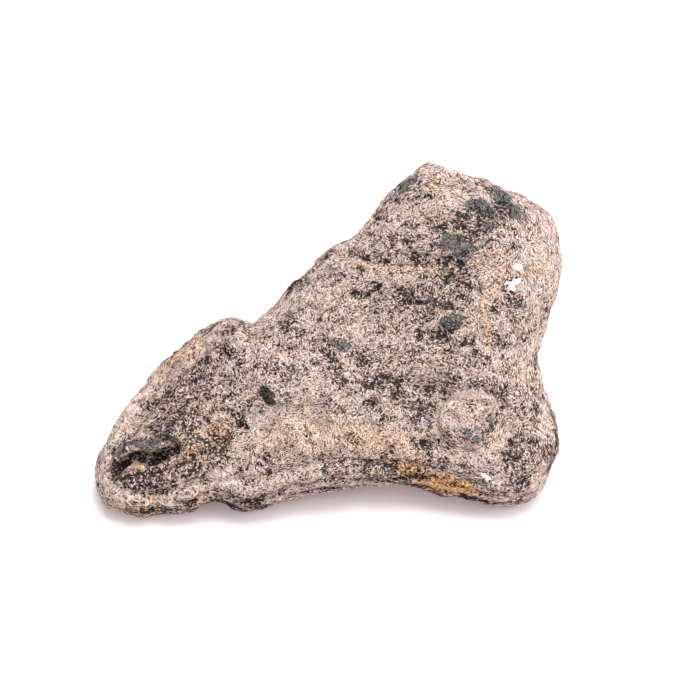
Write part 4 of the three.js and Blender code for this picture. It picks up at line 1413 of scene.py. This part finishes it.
            # An uneven six-sided outline that fades out over its last part
            edge = np.maximum(np.abs(along) + 0.35 * np.abs(over), np.abs(over) + 0.25 * along) + wander[near]
            share = np.clip((1.15 - edge) / 0.3, 0, 1)
            # Two faces that fall away from the ridge, which rises a little along its length
            target = crystal.out - 0.12 * np.abs(over) * crystal.size[1] + 0.03 * along * crystal.size[0]
            lift = (target - offset @ outward) * share
            places[near] += outward * lift[:, None]
            cover[near] = np.maximum(cover[near], share * crystal.black)
        return places, cover

    def _wandered(self, spots: np.ndarray, places: np.ndarray) -> np.ndarray:
        """Shift seen spots by noise, so that the edges of what is marked there wander.

        Args:
            spots: Where the skin's points are seen.
            places: The points themselves.

        Returns:
            One row for each spot: across and up.
        """
        for step, (length, reach) in enumerate(self.wander):
            shifts = (90.0 + 5 * step, 110.0 + 5 * step)
            spots = spots + np.stack([self._noise(places, length, shift) for shift in shifts], axis=1) * reach
        return spots

    def _marked(self, marking_kind: Marking, spots: np.ndarray) -> np.ndarray:
        """Find how strongly each seen spot gets one kind of marking."""
        cover = np.zeros(len(spots))
        for marking in MARKINGS[marking_kind]:
            cover = np.maximum(cover, marking.cover(spots))
        return cover

    def _write_markings(
        self,
        mesh: bpy.types.Mesh,
        places: np.ndarray,
        spots: np.ndarray,
        facing: np.ndarray,
        layers: np.ndarray,
        crystal: np.ndarray,
    ) -> None:
        """Write the markings: as listed on the viewed side, and from noise on the sides that it hides.

        Args:
            mesh: The skin's mesh.
            places: Its points.
            spots: Where they are seen.
            facing: How squarely they face the camera.
            layers: The rock's layers where they show.
            crystal: Each point's share of nearly black crystal.
        """
        shown = np.clip(facing * 4 + 0.4, 0, 1)
        clouds = sum(size * self._noise(places, length, 200 + length) for length, size in self.clouds)
        moved = self._wandered(spots, places)
        covers = {}
        for marking_kind in Marking:
            cover = self._marked(marking_kind, moved) * shown
            if marking_kind in GROWTHS:
                growth = GROWTHS[marking_kind]
                spread = self._noise(places, growth.length, growth.start) * growth.gain + growth.level
                cover = cover + np.clip(spread, 0, 1) * growth.strength * (1 - shown)
            if marking_kind is Marking.BARE:
                cover = np.maximum(cover, 0.7 * crystal)
            self._write(mesh, marking_kind.value, cover)
            covers[marking_kind] = cover
        # The pale and dark markings, painted highlights and painted shade among them, set the lightness
        marked = self.pale_light * covers[Marking.PALE] - self.dark_light * covers[Marking.DARK]
        light = marked + clouds + self.layer_light * layers + self.base_light
        self._write(mesh, LIGHT, np.clip(light, -1.2, 1.2))


class Lean(Enum):
    """Which parts of the rock a set of flakes keeps to. The value is the slope with its lightness."""

    LIGHT_PARTS = 0.7
    ANYWHERE = 0.3
    DARK_PARTS = -0.8


@dataclass
class FlakeCover:
    """One set of mica flakes that lie over the skin with their edges loose.

    Attributes:
        name: The piece's name.
        finish: The flakes' finish.
        density: How many flakes there are on a square millimetre where nothing thins them.
        length: A flake's length.
        width: Its width.
        thickness: Its thickness.
        tilt_deg: How far a flake may tilt out of the surface.
        seed: What sets where they lie.
        lean: Which parts of the rock they keep to.
        losses: The shares of flakes that bare parts, steel grey crystals and the rock's sides lose.
        sink: How far a flake may be sunk or raised.
        stray: How far it may stray from the way that the mica leans.
        bend: How far a flake bends sideways, for its length.
    """

    name: str
    finish: FlakeFinish
    density: float
    length: float
    width: float
    thickness: float
    tilt_deg: float
    seed: int
    lean: Lean
    losses: tuple[float, float, float] = (0.8, 0.25, 0.6)
    sink: float = 0.05
    stray: float = 0.6
    bend: float = 0.08

    def build(self, skin: bpy.types.Object) -> bpy.types.Object:
        """Lay the flakes over the skin.

        Args:
            skin: The stone's skin.

        Returns:
            The flakes as one plain mesh.
        """
        carrier = new_object(self.name, skin.data.copy())
        tree = self._tree(self.finish.build())
        modifier = carrier.modifiers.new("flakes", "NODES")
        modifier.node_group = tree
        sizes = self._sizes()
        for item in tree.interface.items_tree:
            if item.item_type == "SOCKET" and item.in_out == "INPUT" and item.name in sizes:
                modifier[item.identifier] = sizes[item.name]
        graph = bpy.context.evaluated_depsgraph_get()
        mesh = bpy.data.meshes.new_from_object(carrier.evaluated_get(graph))
        mesh.name = self.name
        places = np.zeros(len(mesh.vertices) * 3, np.float32)
        mesh.vertices.foreach_get("co", places)
        places[2::3] = np.maximum(places[2::3], 0.0)
        mesh.vertices.foreach_set("co", places)
        carrier.modifiers.clear()
        carrier.data = mesh
        return carrier

    def _sizes(self) -> dict[str, float | int]:
        """The tree's inputs, in metres and radians."""
        return {
            "Density": self.density / MM**2,
            "Length": self.length * MM,
            "Width": self.width * MM,
            "Thickness": self.thickness * MM,
            "Tilt": math.radians(self.tilt_deg),
            "Seed": self.seed,
        }

    def _tree(self, material: bpy.types.Material) -> bpy.types.NodeTree:
        """Build the tree that scatters, turns and joins the flakes.

        Args:
            material: The flakes' material.

        Returns:
            The tree.
        """
        tree = bpy.data.node_groups.new(self.name + "_tree", "GeometryNodeTree")
        tree.interface.new_socket("Skin", in_out="INPUT", socket_type="NodeSocketGeometry")
        for name in ("Density", "Length", "Width", "Thickness", "Tilt"):
            tree.interface.new_socket(name, in_out="INPUT", socket_type="NodeSocketFloat")
        tree.interface.new_socket("Seed", in_out="INPUT", socket_type="NodeSocketInt")
        tree.interface.new_socket("Flakes", in_out="OUTPUT", socket_type="NodeSocketGeometry")
        graph = Graph(tree)
        start = tree.nodes.new("NodeGroupInput")
        given = {socket.name: Wire(graph, socket) for socket in start.outputs if socket.name}
        points = self._points(graph, given)
        turned = self._turns(graph, given, points)
        sizes = self._random(graph, given, 3, 0.5, 1.5)
        placed = graph.add(
            "GeometryNodeInstanceOnPoints",
            {},
            {
                "Points": points["points"],
                "Instance": self._flake(graph, given),
                "Rotation": turned,
                "Scale": sizes,
            },
        )
        toned = graph.add(
            "GeometryNodeStoreNamedAttribute",
            {"data_type": "FLOAT", "domain": "INSTANCE"},
            {"Geometry": placed, "Name": TONE, "Value": self._random(graph, given, 4, 0.0, 1.0)},
        )
        plain = graph.add("GeometryNodeRealizeInstances", {}, {"Geometry": toned})
        dressed = graph.add("GeometryNodeSetMaterial", {}, {"Geometry": plain, "Material": material})
        graph.add("NodeGroupOutput", {}, {"Flakes": dressed})
        return tree

    def _random(self, graph: Graph, given: dict[str, Wire], step: int, low: float, high: float) -> Wire:
        """Draw a number for each flake between two limits."""
        inputs = {"Min_001": low, "Max_001": high, "Seed": given["Seed"] + step}
        return graph.add("FunctionNodeRandomValue", {"data_type": "FLOAT"}, inputs, "Value_001")

    def _held(self, graph: Graph, name: str) -> Wire:
        """Read a number that the skin holds at each point."""
        return graph.add("GeometryNodeInputNamedAttribute", {"data_type": "FLOAT"}, {"Name": name}, 0)

    def _points(self, graph: Graph, given: dict[str, Wire]) -> dict[str, Wire]:
        """Scatter the flakes' places over the skin, sunk a little at random.

        Args:
            graph: The tree's graph.
            given: The tree's inputs.

        Returns:
            The points, the turn that lays a flake on the skin, and the outward direction.
        """
        kept = (self._held(graph, LIGHT) * self.lean.value + 0.45).math("MAXIMUM", 0.0)
        bare = self._held(graph, Marking.BARE.value)
        steel = self._held(graph, Marking.STEEL.value).between(0.2, 0.9)
        steep = off_face(graph.add("GeometryNodeInputNormal")).between(0.35, 0.85)
        left = [1 - part * loss for part, loss in zip((bare, steel, steep), self.losses)]
        density = given["Density"] * kept * (left[0] * left[1] * left[2])
        scatter = graph.add(
            "GeometryNodeDistributePointsOnFaces",
            {"distribute_method": "RANDOM"},
            {"Mesh": given["Skin"], "Density": density, "Seed": given["Seed"]},
            "Points",
        )
        node = scatter.socket.node
        normal = Wire(graph, node.outputs["Normal"])
        sink = self._random(graph, given, 5, -self.sink * MM, self.sink * MM)
        moved = graph.add(
            "GeometryNodeSetPosition", {}, {"Geometry": scatter, "Offset": normal.vector("SCALE", sink)}
        )
        return {"points": moved, "lying": Wire(graph, node.outputs["Rotation"]), "normal": normal}

    def _turns(self, graph: Graph, given: dict[str, Wire], points: dict[str, Wire]) -> Wire:
        """Turn each flake in the surface, half at random and half as the mica leans, and tip it a little.

        Args:
            graph: The tree's graph.
            given: The tree's inputs.
            points: The points, with the turn that lays a flake on the skin and the outward direction.

        Returns:
            The turns.
        """
        here = graph.add("GeometryNodeInputPosition").vector("SCALE", 1 / MM)
        inputs = {"Min": (-self.stray,) * 3, "Max": (self.stray,) * 3, "Seed": given["Seed"] + 1}
        wild = graph.add("FunctionNodeRandomValue", {"data_type": "FLOAT_VECTOR"}, inputs, "Value")
        lean = wild.vector("ADD", flow_of(graph, here, points["normal"]))
        aligned = graph.add(
            "FunctionNodeAlignRotationToVector",
            {"axis": "X", "pivot_axis": "Z"},
            {"Rotation": points["lying"], "Vector": lean},
        )
        tipped = graph.add(
            "ShaderNodeCombineXYZ",
            {},
            {
                "X": self._random(graph, given, 6, -1.0, 1.0) * given["Tilt"],
                "Y": self._random(graph, given, 7, -1.0, 1.0) * given["Tilt"],
            },
        )
        return graph.add(
            "FunctionNodeRotateRotation",
            {"rotation_space": "LOCAL"},
            {"Rotation": aligned, "Rotate By": graph.add("FunctionNodeEulerToRotation", {}, {0: tipped})},
        )

    def _flake(self, graph: Graph, given: dict[str, Wire]) -> Wire:
        """Make one flake: a thin lozenge with eight faces, bent a little sideways.

        Args:
            graph: The tree's graph.
            given: The tree's inputs.

        Returns:
            The flake.
        """
        inputs = {"Segments": 4, "Rings": 2, "Radius": 0.5}
        lozenge = graph.add("GeometryNodeMeshUVSphere", {}, inputs, "Mesh")
        size = graph.add(
            "ShaderNodeCombineXYZ",
            {},
            {"X": given["Length"], "Y": given["Width"], "Z": given["Thickness"]},
        )
        scaled = graph.add("GeometryNodeTransform", {}, {"Geometry": lozenge, "Scale": size})
        place = graph.add("GeometryNodeInputPosition")
        along = place.dot((1.0, 0.0, 0.0))
        bend = graph.add("ShaderNodeCombineXYZ", {}, {"Y": along * along / given["Length"] * self.bend})
        return graph.add("GeometryNodeSetPosition", {}, {"Geometry": scaled, "Offset": bend})


@dataclass
class Studio:
    """The pale floor, the soft light and the camera.

    Attributes:
        floor_reach: How far the floor runs from its middle, in metres.
        floor_colour: The floor's colour.
        floor_glow: The light that comes up through the floor, which keeps the shadows pale.
        sky: The strength of the light from all round.
        key: The power of the large light above the stone, in watts.
        side: The power of the light at the right, in watts.
    """

    floor_reach: float = 3.0
    floor_colour: Colour = (0.87, 0.835, 0.845)
    floor_glow: Colour = (0.13, 0.09, 0.1)
    sky: float = 0.75
    key: float = 8.5
    side: float = 3.4

    def build(self) -> None:
        """Set the studio up."""
        self._lay_floor()
        self._light()
        self._place_camera()
        bpy.context.scene.view_settings.view_transform = "Standard"

    def _lay_floor(self) -> None:
        """Lay the floor under the stone."""
        reach = self.floor_reach
        mesh = bpy.data.meshes.new("floor")
        corners = [(-reach, -reach, 0), (reach, -reach, 0), (reach, reach, 0), (-reach, reach, 0)]
        mesh.from_pydata(corners, [], [(0, 1, 2, 3)])
        floor = new_object("floor", mesh)
        material, graph = new_material("floor_paper")
        inputs = {
            "Base Color": (*self.floor_colour, 1.0),
            "Roughness": 0.9,
            "Specular IOR Level": 0.1,
            "Emission Color": (*self.floor_glow, 1.0),
            "Emission Strength": 1.0,
        }
        graph.shade(inputs)
        mesh.materials.append(material)

    def _light(self) -> None:
        """Light the stone softly from all round, from above its back, and from the right."""
        world = bpy.data.worlds.new("studio")
        world.use_nodes = True
        graph = Graph(world.node_tree)
        glow = graph.add("ShaderNodeBackground", {}, {"Color": (1.0, 1.0, 1.0, 1.0), "Strength": self.sky})
        graph.add("ShaderNodeOutputWorld", {}, {"Surface": glow})
        bpy.context.scene.world = world
        self._softbox("key_light", Vector((0.15, 0.35, 0.75)), 0.7, self.key)
        self._softbox("side_light", Vector((0.7, 0.05, 0.4)), 0.6, self.side)

    def _softbox(self, name: str, place: Vector, side: float, power: float) -> None:
        """Hang a square light that looks at the stone.

        Args:
            name: The light's name.
            place: Where it hangs, in metres.
            side: The length of its side, in metres.
            power: Its power, in watts.
        """
        lamp = bpy.data.lights.new(name, "AREA")
        lamp.energy = power
        lamp.size = side
        light = new_object(name, lamp)
        light.location = place
        light.rotation_euler = place.to_track_quat("Z", "Y").to_euler()

    def _place_camera(self) -> None:
        """Put the camera where the photograph was taken from."""
        camera = new_object("camera", bpy.data.cameras.new("camera"))
        camera.data.lens = VIEW.lens
        toward = Vector(VIEW.toward)
        camera.location = Vector((0, 0, VIEW.middle_height * MM)) + toward * VIEW.distance * MM
        camera.rotation_euler = toward.to_track_quat("Z", "Y").to_euler()
        bpy.context.scene.camera = camera


@dataclass
class Specimen:
    """The whole specimen: the skin over its solid, and the flakes that lie on it.

    Attributes:
        pale: The finish of its pale flakes.
        grey: The finish of its grey flakes.
        black: The finish of its black flakes.
    """

    pale: FlakeFinish = FlakeFinish("pale_mica", lit(188, 168, 160), lit(246, 231, 224), 0.5)
    grey: FlakeFinish = FlakeFinish("grey_mica", lit(90, 71, 63), lit(190, 166, 154), 0.5)
    black: FlakeFinish = FlakeFinish("black_mica", lit(27, 20, 19), lit(86, 68, 63), 0.45)

    def build(self, solid: bpy.types.Object) -> list[bpy.types.Object]:
        """Build every piece.

        Args:
            solid: The stone's solid.

        Returns:
            The pieces.
        """
        skin = StoneSkin().build(solid)
        skin.data.materials.clear()
        skin.data.materials.append(SchistFinish().build())
        covers = (
            FlakeCover("pale_flakes", self.pale, 3.6, 0.64, 0.18, 0.06, 16, 3, Lean.LIGHT_PARTS),
            FlakeCover("pale_slivers", self.pale, 2.8, 0.5, 0.12, 0.06, 20, 53, Lean.ANYWHERE),
            FlakeCover("pale_fibres", self.pale, 2.8, 1.2, 0.1, 0.06, 10, 41, Lean.ANYWHERE),
            FlakeCover("grey_flakes", self.grey, 3.2, 0.5, 0.2, 0.07, 16, 17, Lean.ANYWHERE),
            FlakeCover("black_flakes", self.black, 3.8, 0.42, 0.22, 0.07, 14, 29, Lean.DARK_PARTS),
        )
        flakes = [cover.build(skin) for cover in covers]
        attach(skin, "root")
        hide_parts(NODE)
        for piece in flakes:
            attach(piece, "root")
        return [skin, *flakes]


def triangles_in(piece: bpy.types.Object) -> int:
    """Count a piece's triangles."""
    return sum(len(polygon.vertices) - 2 for polygon in piece.data.polygons)


def main() -> None:
    """Build the specimen and its studio, and report each piece."""
    logging.basicConfig(level=logging.INFO, format="%(name)s: %(message)s")
    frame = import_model()
    for piece in Specimen().build(frame["nodes"][NODE]):
        log.info("%s has %d triangles", piece.name, triangles_in(piece))
    Studio().build()


if __name__ == "__main__":
    main()
